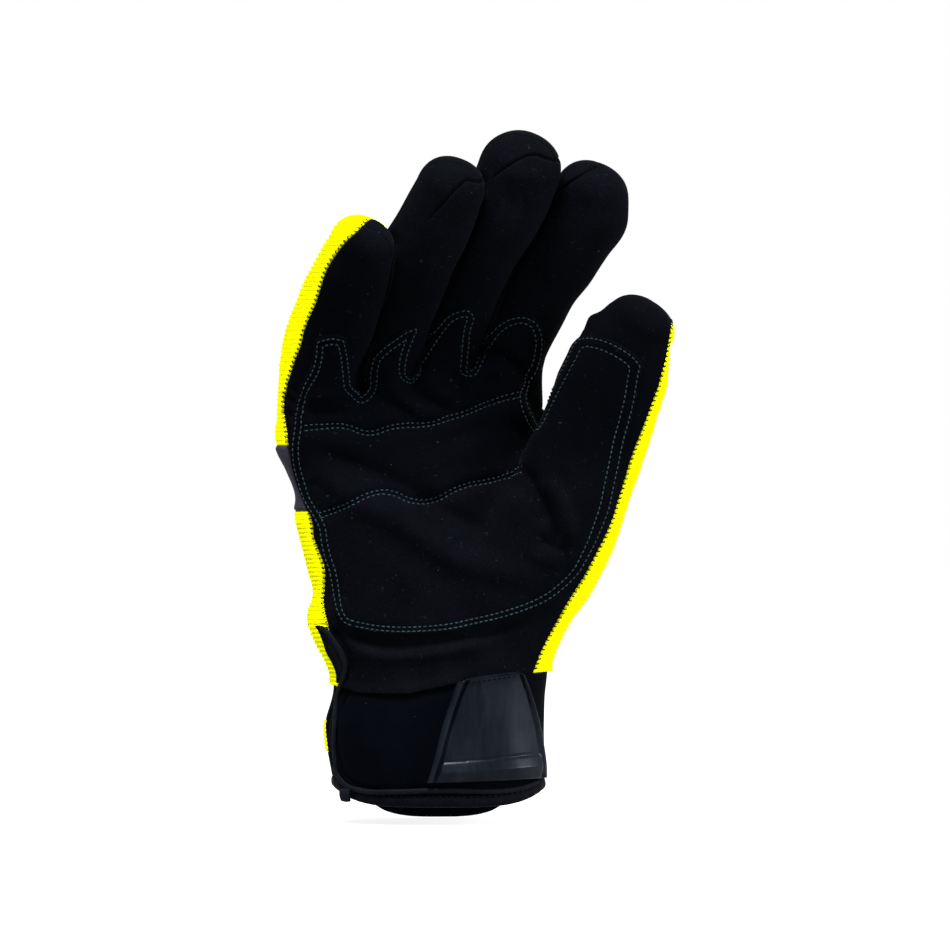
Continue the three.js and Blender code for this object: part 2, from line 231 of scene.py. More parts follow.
@dataclass
class Palm:
    """The palm and wrist: sections across X, deep in Y, one below another.

    Each row holds its height, middle x, half width, half depth, rise (how far the section climbs per millimetre towards
    the thumb) and turn (how far it swings back per millimetre towards the thumb).
    """

    rows: tuple[tuple[float, ...], ...] = (
        (-12, -0.5, 38.2, 26.0, 0, 0),
        (0, -0.6, 38.9, 26.5, 0, 0),
        (22, -2.1, 39.9, 26.3, 0, 0),
        (35, -0.4, 39.0, 25.5, 0, 0),
        (44, -0.9, 41.6, 25.0, 0, 0),
        (52.5, -2.1, 44.8, 24.5, 0, 0),
        (61, -2.7, 46.6, 24.0, 0, 0),
        (70, -1.5, 45.3, 23.5, 0, 0),
        (79, -3.3, 45.6, 22.5, 0, 0.02),
        (92, -6.2, 46.0, 21.0, 0, 0.05),
        (98, -7.4, 46.0, 20.5, 0.01, 0.06),
        (105, -8.0, 44.2, 20.0, 0.02, 0.08),
        (118, -10.8, 45.3, 19.0, 0.06, 0.10),
        (127, -12.2, 47.2, 18.0, 0.10, 0.12),
        (136, -12.2, 47.6, 15.8, 0.14, 0.12),
        (143, -11.3, 46.5, 13.5, 0.18, 0.12),
    )
    dome: float = 6.0

    def section(self, x: np.ndarray, z: np.ndarray) -> tuple[np.ndarray, ...]:
        """The section that passes through a place: its height, middle, half width, half depth and turn.

        The height starts as z and is corrected three times by the section's own rise.
        """
        table = np.array(self.rows, dtype=float)
        level = z
        for _ in range(3):
            row = through_rows(table[:, 0], table[:, 1:], level)
            level = z - row[..., 3] * (x - row[..., 0])
        return level, row[..., 0], row[..., 1], row[..., 2], row[..., 4]

    def distance(self, x: np.ndarray, y: np.ndarray, z: np.ndarray) -> np.ndarray:
        """Distance to the palm for broadcast coordinates; x and z share one grid and y adds a middle axis."""
        level, middle, wide, deep, turn = self.section(x, z)
        across = (x - middle) / wide
        through = (y - turn * (x - middle)) / deep
        over = np.maximum(level - self.rows[-1][0], 0.0) / self.dome
        return rounded_distance([(across, wide), (through, deep), (over, self.dome)])

    def back_of(self, points: np.ndarray) -> np.ndarray:
        """How far behind the section's middle each point lies."""
        _, middle, _, _, turn = self.section(points[:, 0], points[:, 2])
        return points[:, 1] - turn * (points[:, 0] - middle)

    def ring(self, angle: np.ndarray, height: np.ndarray, lift: np.ndarray | float = 0.0) -> np.ndarray:
        """Points on the wrist: the superellipse point at an angle, at a height, lifted outwards.

        Args:
            angle: Radians, 0 at the thumb side, -pi/2 at the front.
            height: z of each point.
            lift: Distance outside the surface.

        Returns:
            Points (..., 3).
        """
        _, middle, wide, deep, turn = self.section(np.zeros_like(height), height)
        across, through = bent(np.cos(angle), 2 / POWER), bent(np.sin(angle), 2 / POWER)
        out_x, out_y = bent(across, POWER - 1) / wide, bent(through, POWER - 1) / deep
        length = np.maximum(np.hypot(out_x, out_y), 1e-9)
        x = middle + across * wide + lift * out_x / length
        y = through * deep + turn * across * wide + lift * out_y / length
        return np.stack(np.broadcast_arrays(x, y, height), axis=-1)

    def front(self, places: np.ndarray, lift: np.ndarray | float = 0.0) -> tuple[np.ndarray, np.ndarray]:
        """Front surface points above places (x, z) of the wrist, lifted outwards, and their outward directions."""
        _, middle, wide, deep, _ = self.section(places[:, 0], places[:, 1])
        across = np.clip((places[:, 0] - middle) / wide, -0.992, 0.992)
        through = -((1 - np.abs(across) ** POWER) ** (1 / POWER))
        out_x, out_y = bent(across, POWER - 1) / wide, bent(through, POWER - 1) / deep
        out = unit(np.stack([out_x, out_y, np.zeros_like(out_x)], axis=1))
        base = np.stack([middle + across * wide, through * deep, places[:, 1]], axis=1)
        return base + out * np.asarray(lift, dtype=float).reshape(-1, 1), out


@dataclass
class Digit:
    """A finger or thumb: a rounded tube along its centre line with a round end.

    Each row holds x, y, z of the centre and the half width and half depth there, root first.
    """

    rows: tuple[tuple[float, ...], ...]
    dome: float
    foot: float = 9.0
    steps: int = 36
    centre: np.ndarray = field(init=False)
    half: np.ndarray = field(init=False)
    axes: np.ndarray = field(init=False)
    length: float = field(init=False)

    def __post_init__(self) -> None:
        """Works out the centre line, its half sizes and its directions: across, through to the back, and along."""
        table = np.array(self.rows, dtype=float)
        knots = lengths_along(table[:, :3])
        fine = np.linspace(0.0, knots[-1], self.steps)
        values = through_rows(knots, table, fine)
        self.centre, self.half, self.length = values[:, :3], values[:, 3:], float(knots[-1])
        along = unit(np.gradient(self.centre, fine, axis=0))
        across = unit(np.cross(np.array([0.0, 1.0, 0.0]), along))
        self.axes = np.stack([across, np.cross(along, across), along], axis=1)

    def place(self, points: np.ndarray) -> tuple[np.ndarray, ...]:
        """Where points lie on the digit.

        The nearest point of the centre line gives the position along it. The rest of the way is read along the digit's
        own directions there.

        Args:
            points: Points (N, 3).

        Returns:
            Distance to the surface, millimetres across, millimetres to the back, half depth, and millimetres along
            the digit past its last row (negative before it).
        """
        best = np.full(len(points), np.inf)
        position = np.zeros(len(points))
        for index in range(self.steps - 1):
            start = self.centre[index]
            run = self.centre[index + 1] - start
            offset = points - start
            t = np.clip((offset @ run) / float(run @ run), 0.0, 1.0)
            gap = ((offset - t[:, None] * run) ** 2).sum(axis=1)
            nearer = gap < best
            best = np.where(nearer, gap, best)
            position = np.where(nearer, index + t, position)
        low = np.minimum(position.astype(int), self.steps - 2)
        share = (position - low)[:, None]
        centre = self.centre[low] * (1 - share) + self.centre[low + 1] * share
        half = self.half[low] * (1 - share) + self.half[low + 1] * share
        axes = self.axes[low] * (1 - share[..., None]) + self.axes[low + 1] * share[..., None]
        offset = points - centre
        across = (offset * axes[:, 0]).sum(axis=1)
        through = (offset * axes[:, 1]).sum(axis=1)
        along = (offset * axes[:, 2]).sum(axis=1)
        past_tip = np.where(position >= self.steps - 1, np.maximum(along, 0.0), 0.0)
        before_root = np.where(position <= 0, np.maximum(-along, 0.0), 0.0)
        distance = rounded_distance(
            [
                (across / half[:, 0], half[:, 0]),
                (through / half[:, 1], half[:, 1]),
                (past_tip / self.dome, self.dome),
                (before_root / self.foot, self.foot),
            ]
        )
        reach = position / (self.steps - 1) * self.length + past_tip - before_root - self.length
        return distance, across, through, half[:, 1], reach


@dataclass
class Fold:
    """A soft ridge or valley in the cloth, seen from the front.

    The cloth rises by height along the path and falls off with distance as a bell of the given width.
    """

    path: Path
    width: float
    height: float

    def map(self, places: np.ndarray) -> np.ndarray:
        """Height of the fold at places (x, z): height * exp(-(distance / width)^2), fading to nothing at both ends."""
        line = smooth_path(self.path, 1.5)
        distance, share = line_reach(places, line)
        taper = ease(share, 0.0, 0.22) * ease(1 - share, 0.0, 0.22)
        return self.height * np.exp(-((distance / self.width) ** 2)) * taper


@dataclass
class Volume:
    """A distance field on an even grid."""

    origin: np.ndarray
    voxel: float
    values: np.ndarray

    def sample(self, points: np.ndarray) -> np.ndarray:
        """Field values at points, from the eight grid values round each."""
        spot = (points - self.origin) / self.voxel
        low = np.clip(np.floor(spot).astype(int), 0, np.array(self.values.shape) - 2)
        t = np.clip(spot - low, 0.0, 1.0)
        total = np.zeros(len(points))
        for corner in np.ndindex(2, 2, 2):
            weight = np.prod(np.where(corner, t, 1 - t), axis=1)
            total += weight * self.values[tuple((low + corner).T)]
        return total

    def slope(self, points: np.ndarray) -> np.ndarray:
        """Outward direction at points, from field differences one grid step to each side."""
        steps = np.eye(3) * self.voxel
        return unit(np.stack([self.sample(points + s) - self.sample(points - s) for s in steps], axis=1))

    def front_map(self) -> np.ndarray:
        """For each (x, z) column, the y where the field first turns negative, going back from the front."""
        inside = self.values < 0
        first = np.clip(np.argmax(inside, axis=1), 1, None)
        here = np.take_along_axis(self.values, first[:, None, :], axis=1)[:, 0]
        before = np.take_along_axis(self.values, first[:, None, :] - 1, axis=1)[:, 0]
        share = before / np.maximum(before - here, 1e-6)
        depth = self.origin[1] + (first - 1 + np.clip(share, 0.0, 1.0)) * self.voxel
        return np.where(inside.any(axis=1), depth, np.nan)


@dataclass
class Hand:
    """The whole filled hand as one field, and the skin taken from it."""

    voxel: float = KNIT_PITCH / 2  # two grid steps make one rib, so the knit's crests fall on the grid
    low: Triple = (-66.0, -54.0, 24.0)
    high: Triple = (92.0, 34.0, 246.0)
    cleft: float = 1.7  # slit between neighbouring fingers
    cleft_join: float = 1.6  # reach of the rounding at the slit, and of the joins to the palm below
    finger_join: float = 4.0
    thumb_join: float = 6.5
    margin: float = 25.0  # a digit's field is worked out this far from its centre line
    far: float = 22.0  # and has this value beyond
    palm: Palm = field(default_factory=Palm)
    digits: dict[str, Digit] = field(
        default_factory=lambda: {
            "little": Digit(
                (
                    (-45.0, -5, 130, 14.0, 12.0),
                    (-44.6, -7, 143.5, 15.2, 12.0),
                    (-42.8, -12, 158, 15.2, 12.0),
                    (-37.8, -19, 172.5, 15.2, 12.0),
                    (-32.8, -27, 185, 14.0, 11.5),
                    (-28.6, -34, 196, 12.0, 10.0),
                ),
                11,
            ),
            "ring": Digit(
                (
                    (-21.0, -1.5, 137, 12.0, 12.0),
                    (-19.3, -5, 157, 12.5, 12.0),
                    (-16.4, -10, 170.5, 13.5, 12.0),
                    (-7.7, -22, 194, 14.3, 12.0),
                    (-1.4, -28, 206, 13.7, 11.5),
                    (3.2, -32, 216, 12.5, 11.0),
                ),
                13,
            ),
            "middle": Digit(
                (
                    (0.2, 1.5, 137, 12.5, 12.0),
                    (1.8, 0, 159, 13.0, 12.0),
                    (4.7, -3, 171.5, 13.5, 12.0),
                    (14.6, -12, 196.5, 14.3, 12.0),
                    (22.3, -17, 209, 14.9, 12.0),
                    (28.4, -21, 223, 15.2, 11.5),
                ),
                15.9,
            ),
            "index": Digit(
                (
                    (23.2, 4, 137, 14.6, 12.0),
                    (25.2, 4, 159, 13.8, 12.0),
                    (30.6, 2.5, 171.5, 14.3, 12.0),
                    (36.7, 0, 183, 14.4, 12.0),
                    (44.2, -3, 194, 14.6, 12.0),
                    (51.9, -7, 206, 14.4, 11.8),
                    (55.1, -10, 215, 13.8, 11.3),
                ),
                13,
            ),
            "thumb": Digit(
                (
                    (16.0, -3, 53, 22.0, 17.0),
                    (27.0, -6, 70.5, 23.5, 18.0),
                    (40.0, -9, 89.5, 23.0, 17.5),
                    (49.2, -12, 109.5, 21.0, 16.5),
                    (57.2, -15, 129, 19.6, 15.0),
                    (68.7, -21, 160, 16.7, 13.0),
                    (72.6, -23, 167.0, 13.4, 12.0),
                ),
                10.6,
                foot=14.0,
            ),
        }
    )
    seam_ends: tuple[tuple[float, ...], ...] = (
        (57.0, -23.0, 168.6, 3.4),
        (57.4, -22.5, 164.4, 4.4),
        (63.7, -23.0, 170.0, 5.0),
        (59.0, -9.5, 206.6, 8.6),
    )  # x, y, z and radius of the small swellings where fingertip seams meet the outline
    folds: tuple[Fold, ...] = (
        Fold([(-52, 113), (-41, 109), (-32, 104.5), (-23, 100), (-13, 94.5), (-4, 88.5), (5.5, 83), (17, 79),
              (28, 76.5), (40, 75)], 5.0, 2.6),
        Fold([(-50, 123), (-38, 119.5), (-28, 115.5), (-17, 110.5), (-6, 104.5), (4, 98.5), (14, 94),
              (24, 91)], 4.0, -2.1),
        Fold([(29.8, 119.5), (31.6, 114.6), (34.6, 110.2), (37.6, 105.6), (39.8, 101), (41.4, 96.4), (42.7, 91.5),
              (44.0, 85)], 2.2, -3.4),
        Fold([(36, 113), (41, 107), (45, 100.5), (47, 95), (48.5, 87)], 3.2, 1.9),
        Fold([(25, 114), (31, 108), (36, 101), (38.5, 93)], 4.4, -2.4),
        Fold([(36, 90.4), (40, 87.8), (43.6, 86), (47, 85)], 2.0, -1.3),
        Fold([(31, 95), (35.5, 91.8), (39.5, 90)], 2.2, -0.5),
        Fold([(31, 86), (37, 83), (43.5, 81.2)], 2.8, 0.8),
        Fold([(9, 161), (18.3, 158.6), (26.8, 154.4), (30.4, 148.6), (32.2, 141), (35.0, 134.7), (36, 127)], 2.5, -3.2),
        Fold([(10, 154), (17, 153), (23, 149.6), (26, 145), (28.0, 138.6), (31, 131)], 3.2, 1.7),
        Fold([(-14.6, 155), (-12.4, 148), (-8, 142.5), (0, 137.5), (8, 136.5)], 3.2, -2.1),
        Fold([(-25.5, 149), (-21, 142), (-14, 136.5), (-6, 134)], 2.8, -1.5),
        Fold([(-20, 150), (-15, 142.5), (-8, 137.5), (2, 134.5)], 2.4, 1.3),
        Fold([(7.5, 154), (8.5, 147), (13, 141.5), (20, 141)], 3.0, -1.4),
        Fold([(-5, 150), (-2, 144.5), (5, 141.5)], 3.2, 1.1),
        Fold([(-50, 134), (-44, 136.4), (-37, 136.6), (-32, 134)], 3.0, -1.3),
        Fold([(-48, 141), (-42, 142), (-36, 140.5)], 3.0, 0.9),
        Fold([(-57, 148), (-52, 143.4), (-47, 142)], 1.4, -1.1),
        Fold([(-58, 143), (-53, 139.6), (-49, 137.6)], 1.4, -1.1),
        Fold([(-58, 138), (-54, 135), (-50, 134)], 1.4, -0.9),
        Fold([(-26.2, 157), (-30, 151.6), (-30.4, 148.4), (-28.4, 146.2), (-26, 149), (-24, 153)], 1.0, -0.9),
        Fold([(-53, 130.3), (-44, 130.6), (-34.3, 130.8), (-27, 128.4), (-16, 130.6), (-5.5, 131.6), (6.2, 134.4),
              (19, 139.6), (31, 143)], 2.5, -1.4),
        Fold([(-48, 97), (-40, 99.8), (-29, 104.3), (-20.5, 106.4), (-9, 103.2), (0.4, 105.4), (10, 109.4),
              (21.5, 111.7), (33, 115.6)], 2.5, -1.4),
        Fold([(-14, 120), (-4, 118), (8, 121), (18, 126)], 5.0, 0.9),
        Fold([(-2, 124), (8, 128), (19, 133)], 3.0, -0.8),
        Fold([(-42, 63), (-36, 57), (-29.2, 53.0), (-21.1, 51.0), (-10.9, 50.8), (0, 52.4), (18.3, 56.3),
              (36, 62.5)], 2.5, -2.1),
        Fold([(-36, 52.5), (-29, 48.8), (-21, 47.2), (-11, 47.6), (4, 49.4), (20, 53)], 3.0, 1.5),
        Fold([(-30, 42), (-18, 40), (-4, 41.6), (10, 45), (24, 50)], 4.0, -0.3),
        Fold([(-40, 58), (-36.2, 52.6), (-33.3, 47.5), (-32.2, 44.6), (-33, 38)], 1.5, -1.5),
        Fold([(-47, 112), (-41, 107), (-36, 104)], 2.2, -0.9),
        Fold([(8, 205), (3, 196), (-2, 189)], 4.0, -0.8),
        Fold([(24, 224), (30, 221), (37, 222)], 3.4, 0.9),
        Fold([(21, 214), (27, 211.5), (33, 213)], 4.0, -0.6),
        Fold([(30, 190), (36, 186), (41, 186)], 4.0, -0.6),
        Fold([(64, 172.5), (70, 174), (77, 172.6)], 4.0, 0.5),
    )

    def raw_field(self) -> Volume:
        """The field of the bare hand.

        Each finger is dented by its neighbour nearer the palm side, so a narrow cleft parts them. The clefts close at
        the finger roots. Fingers and palm join over a short reach, and the thumb joins over a longer one. A small ball
        swells the cloth where a fingertip seam ends at the outline.
        """
        low, high = np.array(self.low), np.array(self.high)
        shape = np.round((high - low) / self.voxel).astype(int) + 1
        x, y, z = (low[c] + self.voxel * np.arange(shape[c]) for c in range(3))
        palm = self.palm.distance(x[:, None, None], y[None, :, None], z[None, None, :]).astype(np.float32)
        fields = {}
        for name, digit in self.digits.items():
            value = np.full(palm.shape, self.far, dtype=np.float32)
            near = digit.centre.min(axis=0) - self.margin, digit.centre.max(axis=0) + self.margin
            first = np.clip(((near[0] - low) / self.voxel).astype(int), 0, shape)
            last = np.clip(((near[1] - low) / self.voxel).astype(int), 0, shape)
            window = tuple(slice(a, b) for a, b in zip(first, last))
            box = np.stack(np.meshgrid(x[window[0]], y[window[1]], z[window[2]], indexing="ij"), axis=-1)
            value[window] = digit.place(box.reshape(-1, 3))[0].reshape(box.shape[:-1])
            fields[name] = value
        gap = (self.cleft - 9.0 * (1 - ease(z, 136.0, 152.0))).astype(np.float32)[None, None, :]
        fingers = fields["little"]
        for front, name in (("little", "ring"), ("ring", "middle"), ("middle", "index")):
            fingers = np.minimum(fingers, soft_max(fields[name], gap - fields[front], self.cleft_join))
        hand = soft_min(soft_min(palm, fingers, self.finger_join), fields["thumb"], self.thumb_join)
        for px, py, pz, radius in self.seam_ends:
            away = (x[:, None, None] - px) ** 2 + (y[None, :, None] - py) ** 2 + (z[None, None, :] - pz) ** 2
            hand = soft_min(hand, np.sqrt(away) - radius, 0.65 * radius)
        return Volume(low, self.voxel, hand.astype(np.float32))

    def folded_field(self) -> Volume:
        """The field with folds pressed into its front and a faint unevenness over all of it.

        A fold acts fully on the front surface and fades 8 mm behind it. The unevenness is a sum of three slow waves.
        """
        volume = self.raw_field()
        front = volume.front_map()
        nx, ny, nz = volume.values.shape
        x, y, z = (volume.origin[c] + volume.voxel * np.arange(n) for c, n in enumerate((nx, ny, nz)))
        places = np.stack(np.meshgrid(x, z, indexing="ij"), axis=-1).reshape(-1, 2)
        rise = np.zeros(len(places))
        for fold in self.folds:
            path, reach = np.array(fold.path), 3 * fold.width
            near = np.all((places > path.min(axis=0) - reach) & (places < path.max(axis=0) + reach), axis=1)
            rise[near] += fold.map(places[near])
        depth = np.nan_to_num(front, nan=40.0)[:, None, :]
        mask = 1 - ease(y[None, :, None] - depth, 2.0, 9.0)
        wave = (
            0.22 * np.sin(x / 5.1 + 0.7)[:, None, None] * np.sin(z / 6.3)[None, None, :]
            + 0.20 * np.sin(x / 9.7)[:, None, None] * np.sin(z / 11.9 + y[:, None] / 8.0)[None, :, :]
            + 0.12 * np.sin((x[:, None] + z[None, :]) / 3.7)[:, None, :] * np.cos(y / 7.3)[None, :, None]
        )
        volume.values = (volume.values - rise.reshape(nx, 1, nz) * mask - wave).astype(np.float32)
        return volume


# ---------------------------------------------------------------- skins that can be cut


@dataclass
class Skin:
    """A surface of triangles with named values at its points, in millimetres."""

    points: np.ndarray
    faces: np.ndarray
    values: dict[str, np.ndarray] = field(default_factory=dict)

    @classmethod
    def of(cls, volume: Volume) -> "Skin":
        """The surface of a field, evened out.

        Each point is averaged with its neighbours twice and then moved back on to the field's surface along its slope.
        """
        grid = openvdb.FloatGrid(background=3.0)
        grid.copyFromArray(np.ascontiguousarray(volume.values))
        points, quads = grid.convertToQuads()
        points = volume.origin + np.asarray(points, dtype=float) * volume.voxel
        quads = np.asarray(quads, dtype=np.int64)
        pairs = np.vstack([quads[:, [0, 1]], quads[:, [1, 2]], quads[:, [2, 3]], quads[:, [3, 0]]])
        weight = np.bincount(pairs.ravel(), minlength=len(points))[:, None]
        for _ in range(2):
            total = summed(pairs.ravel(), points[pairs[:, ::-1].ravel()], len(points))
            points = 0.5 * points + 0.5 * total / weight
        points -= volume.sample(points)[:, None] * volume.slope(points)
        a, b, c, d = quads.T
        one, other = (np.linalg.norm(points[p] - points[q], axis=1) for p, q in ((a, c), (b, d)))
        short = (one < other)[:, None]
        first = np.where(short, np.stack([a, b, c], axis=1), np.stack([a, b, d], axis=1))
        second = np.where(short, np.stack([a, c, d], axis=1), np.stack([b, c, d], axis=1))
        skin = cls(points, np.vstack([first, second]))
        out = volume.slope(points)
        if (skin.normals() * out).sum() < 0:
            skin.faces = skin.faces[:, ::-1].copy()
        skin.values["out"] = out
        return skin

    def normals(self) -> np.ndarray:
        """Outward directions at the points: the sum of the neighbouring faces' area vectors, made unit."""
        a, b, c = (self.points[self.faces[:, k]] for k in range(3))
        area = np.cross(b - a, c - a)
        return unit(summed(self.faces.ravel(), np.repeat(area, 3, axis=0), len(self.points)))

    def steepness(self, name: str) -> np.ndarray:
        """How fast a value changes per millimetre over the surface, at each point."""
        a, b, c = (self.points[self.faces[:, k]] for k in range(3))
        fa, fb, fc = (self.values[name][self.faces[:, k]] for k in range(3))
        area = np.cross(b - a, c - a)
        size = np.maximum((area**2).sum(axis=1, keepdims=True), 1e-9)
        rise = np.cross(area, fa[:, None] * (c - b) + fb[:, None] * (a - c) + fc[:, None] * (b - a)) / size
        amount = np.linalg.norm(rise, axis=1)
        weight = np.sqrt(size[:, 0])
        index, count = self.faces.ravel(), len(self.points)
        total, share = (np.bincount(index, np.repeat(value, 3), count) for value in (amount * weight, weight))
        return total / np.maximum(share, 1e-9)

    def measure(self, name: str) -> None:
        """Turns a value into millimetres from its zero line, measured over the surface."""
        self.values[name] = self.values[name] / np.clip(self.steepness(name), 0.15, 4.0)

    def cut(self, name: str, level: float) -> None:
        """Cuts the triangles where a value crosses a level, so that edges follow the line.

        Points closer than 0.04 to the level count as on it. A triangle with two crossed sides becomes three, and one
        with a point on the level and its far side crossed becomes two.
        """
        value = self.values[name] - level
        value = np.where(np.abs(value) < 0.04, 0.0, value)
        self.values[name] = value + level
        sign = np.sign(value)
        tri = self.faces
        crossed = np.stack([sign[tri[:, k]] * sign[tri[:, (k + 1) % 3]] < 0 for k in range(3)], axis=1)
        count = crossed.sum(axis=1)
        if not count.any():
            return
        touched = count > 0
        sides = np.stack([tri, np.roll(tri, -1, axis=1)], axis=2)[crossed]
        key = np.sort(sides, axis=1)
        edges, where = np.unique(key, axis=0, return_inverse=True)
        share = value[edges[:, 0]] / (value[edges[:, 0]] - value[edges[:, 1]])
        fresh = np.full(crossed.shape, -1)
        fresh[crossed] = where.ravel() + len(self.points)

        def with_cuts(data: np.ndarray) -> np.ndarray:
            """The data of all points, with the new ones mixed from the ends of the sides they cut."""
            part = share.reshape((-1,) + (1,) * (data.ndim - 1))
            return np.concatenate([data, data[edges[:, 0]] + part * (data[edges[:, 1]] - data[edges[:, 0]])])

        self.points = with_cuts(self.points)
        self.values = {k: with_cuts(v) for k, v in self.values.items()}
        self.values[name][-len(edges) :] = level
        made = [tri[~touched]]
        for turn in range(3):
            rolled, new, mark = (np.roll(array, -turn, axis=1) for array in (tri, fresh, crossed))
            two = (count == 2) & mark[:, 0] & mark[:, 2]
            p, q, r = rolled[two].T
            pq, rp = new[two, 0], new[two, 2]
            made += [np.stack(t, axis=1) for t in ((p, pq, rp), (pq, q, r), (pq, r, rp))]
            one = (count == 1) & mark[:, 1]
            p, q, r = rolled[one].T
            qr = new[one, 1]
            made += [np.stack(t, axis=1) for t in ((p, q, qr), (p, qr, r))]
        self.faces = np.vstack(made)

    def part(self, name: str, above: float | None = None, below: float | None = None) -> "Skin":
        """The triangles whose mean value lies above or below a level, with the points they use."""
        mean = self.values[name][self.faces].mean(axis=1)
        chosen = np.ones(len(mean), dtype=bool)
        if above is not None:
            chosen &= mean > above
        if below is not None:
            chosen &= mean < below
        faces = self.faces[chosen]
        used, index = np.unique(faces, return_inverse=True)
        return Skin(self.points[used], index.reshape(faces.shape), {k: v[used] for k, v in self.values.items()})

    def shell(self, top: np.ndarray | float, bottom: np.ndarray | float) -> "Solid":
        """A closed sheet between two heights above the surface: both faces, and a wall along every open edge."""
        out = self.values["out"]
        count = len(self.points)
        upper = self.points + out * np.broadcast_to(top, count)[:, None]
        lower = self.points + out * np.broadcast_to(bottom, count)[:, None]
        sides = np.vstack([self.faces[:, [0, 1]], self.faces[:, [1, 2]], self.faces[:, [2, 0]]])
        key, back = sides[:, 0] * count + sides[:, 1], sides[:, 1] * count + sides[:, 0]
        a, b = sides[~np.isin(key, back)].T
        wall = np.stack([b, a, a + count, b + count], axis=1)
        solid = Solid([np.vstack([upper, lower])], [])
        solid.faces = [(self.faces, 0), (self.faces[:, ::-1] + count, 1), (wall, 0)]
        return solid


@dataclass
class Solid:
    """Points and groups of faces on their way to a Blender mesh, in millimetres."""

    points: list[np.ndarray] = field(default_factory=list)
    faces: list[tuple[np.ndarray, int]] = field(default_factory=list)

    def add(self, points: np.ndarray, faces: Sequence[np.ndarray]) -> None:
        """Adds a closed surface; faces count from its own first point."""
        start = sum(len(p) for p in self.points)
        self.points.append(points.reshape(-1, 3))
        self.faces += [(f + start, 0) for f in faces]

    @classmethod
    def tube(cls, rings: np.ndarray) -> "Solid":
        """A tube from a grid of points (rings, points round, 3), closed by a fan to the middle of each end."""
        rows, columns = rings.shape[:2]
        index = grid_index(rows, columns)
        right = np.roll(index, -1, axis=1)
        quads = np.stack([index[:-1], right[:-1], right[1:], index[1:]], axis=-1).reshape(-1, 4)
        foot = np.stack([right[0], index[0], np.full(columns, rows * columns)], axis=1)
        head = np.stack([index[-1], right[-1], np.full(columns, rows * columns + 1)], axis=1)
        points = np.vstack([rings.reshape(-1, 3), rings[0].mean(axis=0), rings[-1].mean(axis=0)])
        return cls([points], [(quads, 0), (foot, 0), (head, 0)])

    @classmethod
    def sheet(cls, outer: np.ndarray, inner: np.ndarray) -> "Solid":
        """A closed sheet from two grids of the same size: both faces and the wall round their border."""
        rows, columns = outer.shape[:2]
        index, count = grid_index(rows, columns), rows * columns
        quads = np.stack([index[:-1, :-1], index[:-1, 1:], index[1:, 1:], index[1:, :-1]], axis=-1).reshape(-1, 4)
        border = np.concatenate([index[0, :-1], index[:-1, -1], index[-1, :0:-1], index[:0:-1, 0]])
        ahead = np.roll(border, -1)
        wall = np.stack([ahead, border, border + count, ahead + count], axis=1)
        return cls([outer.reshape(-1, 3), inner.reshape(-1, 3)], [(quads, 0), (quads[:, ::-1] + count, 1), (wall, 0)])

    def piece(self, name: str, finishes: Sequence[Material], nodes: Sequence[str], slot: str) -> None:
        """Makes the Blender object, hangs it on the frame and hides the CAD nodes that it stands for.

        Args:
            name: Object name.
            finishes: Materials in the order of the face groups' numbers.
            nodes: CAD nodes that this piece replaces.
            slot: Not used.
        """
        points = np.vstack(self.points) * METRE
        groups = [(f, m) for f, m in self.faces if len(f)]
        sizes = np.concatenate([np.full(len(f), f.shape[1]) for f, _ in groups])
        numbers = np.concatenate([np.full(len(f), m) for f, m in groups])
        mesh = bpy.data.meshes.new(name)
        mesh.vertices.add(len(points))
        mesh.vertices.foreach_set("co", points.astype(np.float32).ravel())
        mesh.loops.add(int(sizes.sum()))
        mesh.loops.foreach_set("vertex_index", np.concatenate([f.ravel() for f, _ in groups]).astype(np.int32))
        mesh.polygons.add(len(sizes))
        mesh.polygons.foreach_set("loop_start", np.concatenate([[0], np.cumsum(sizes)[:-1]]).astype(np.int32))
        mesh.polygons.foreach_set("material_index", numbers.astype(np.int32))
        mesh.polygons.foreach_set("use_smooth", np.full(len(sizes), True))
        mesh.update(calc_edges=True)
        mesh.validate()
        for finish in finishes:
            mesh.materials.append(finish)
        piece = bpy.data.objects.new(name, mesh)
        bpy.context.scene.collection.objects.link(piece)
        if nodes:
            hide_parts(*nodes)
        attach(piece, "root")
        LOG.info("%s: %d points, %d faces", name, len(points), len(sizes))


# ---------------------------------------------------------------- finishes


@dataclass(frozen=True)
class Signal:
    """A number that varies over a surface, as the output of a shader node."""

    bench: "Bench"
    socket: Socket

    def _maths(self, operation: str, *others: "Signal | float", first: bool = True) -> "Signal":
        """Adds a Math node with this signal as its first input, or as its second one."""
        values = [self, *others] if first else [*others, self]
        return self.bench.number("ShaderNodeMath", {"operation": operation}, dict(enumerate(values)))

    def __add__(self, other: "Signal | float") -> "Signal":
        """Sum."""
        return self._maths("ADD", other)

    def __sub__(self, other: "Signal | float") -> "Signal":
        """Difference."""
        return self._maths("SUBTRACT", other)

    def __rsub__(self, other: float) -> "Signal":
        """Difference from a number."""
        return self._maths("SUBTRACT", other, first=False)

    def __mul__(self, other: "Signal | float") -> "Signal":
        """Product."""
        return self._maths("MULTIPLY", other)

    __radd__ = __add__
    __rmul__ = __mul__

    def wave(self) -> "Signal":
        """Sine of the signal."""
        return self._maths("SINE")

    def size(self) -> "Signal":
        """The signal without its sign."""
        return self._maths("ABSOLUTE")

    def within(self, low: float, high: float) -> "Signal":
        """0 at low, 1 at high, smooth between them and held outside."""
        inputs = {"Value": self, "From Min": low, "From Max": high}
        return self.bench.number("ShaderNodeMapRange", {"interpolation_type": "SMOOTHSTEP"}, inputs)


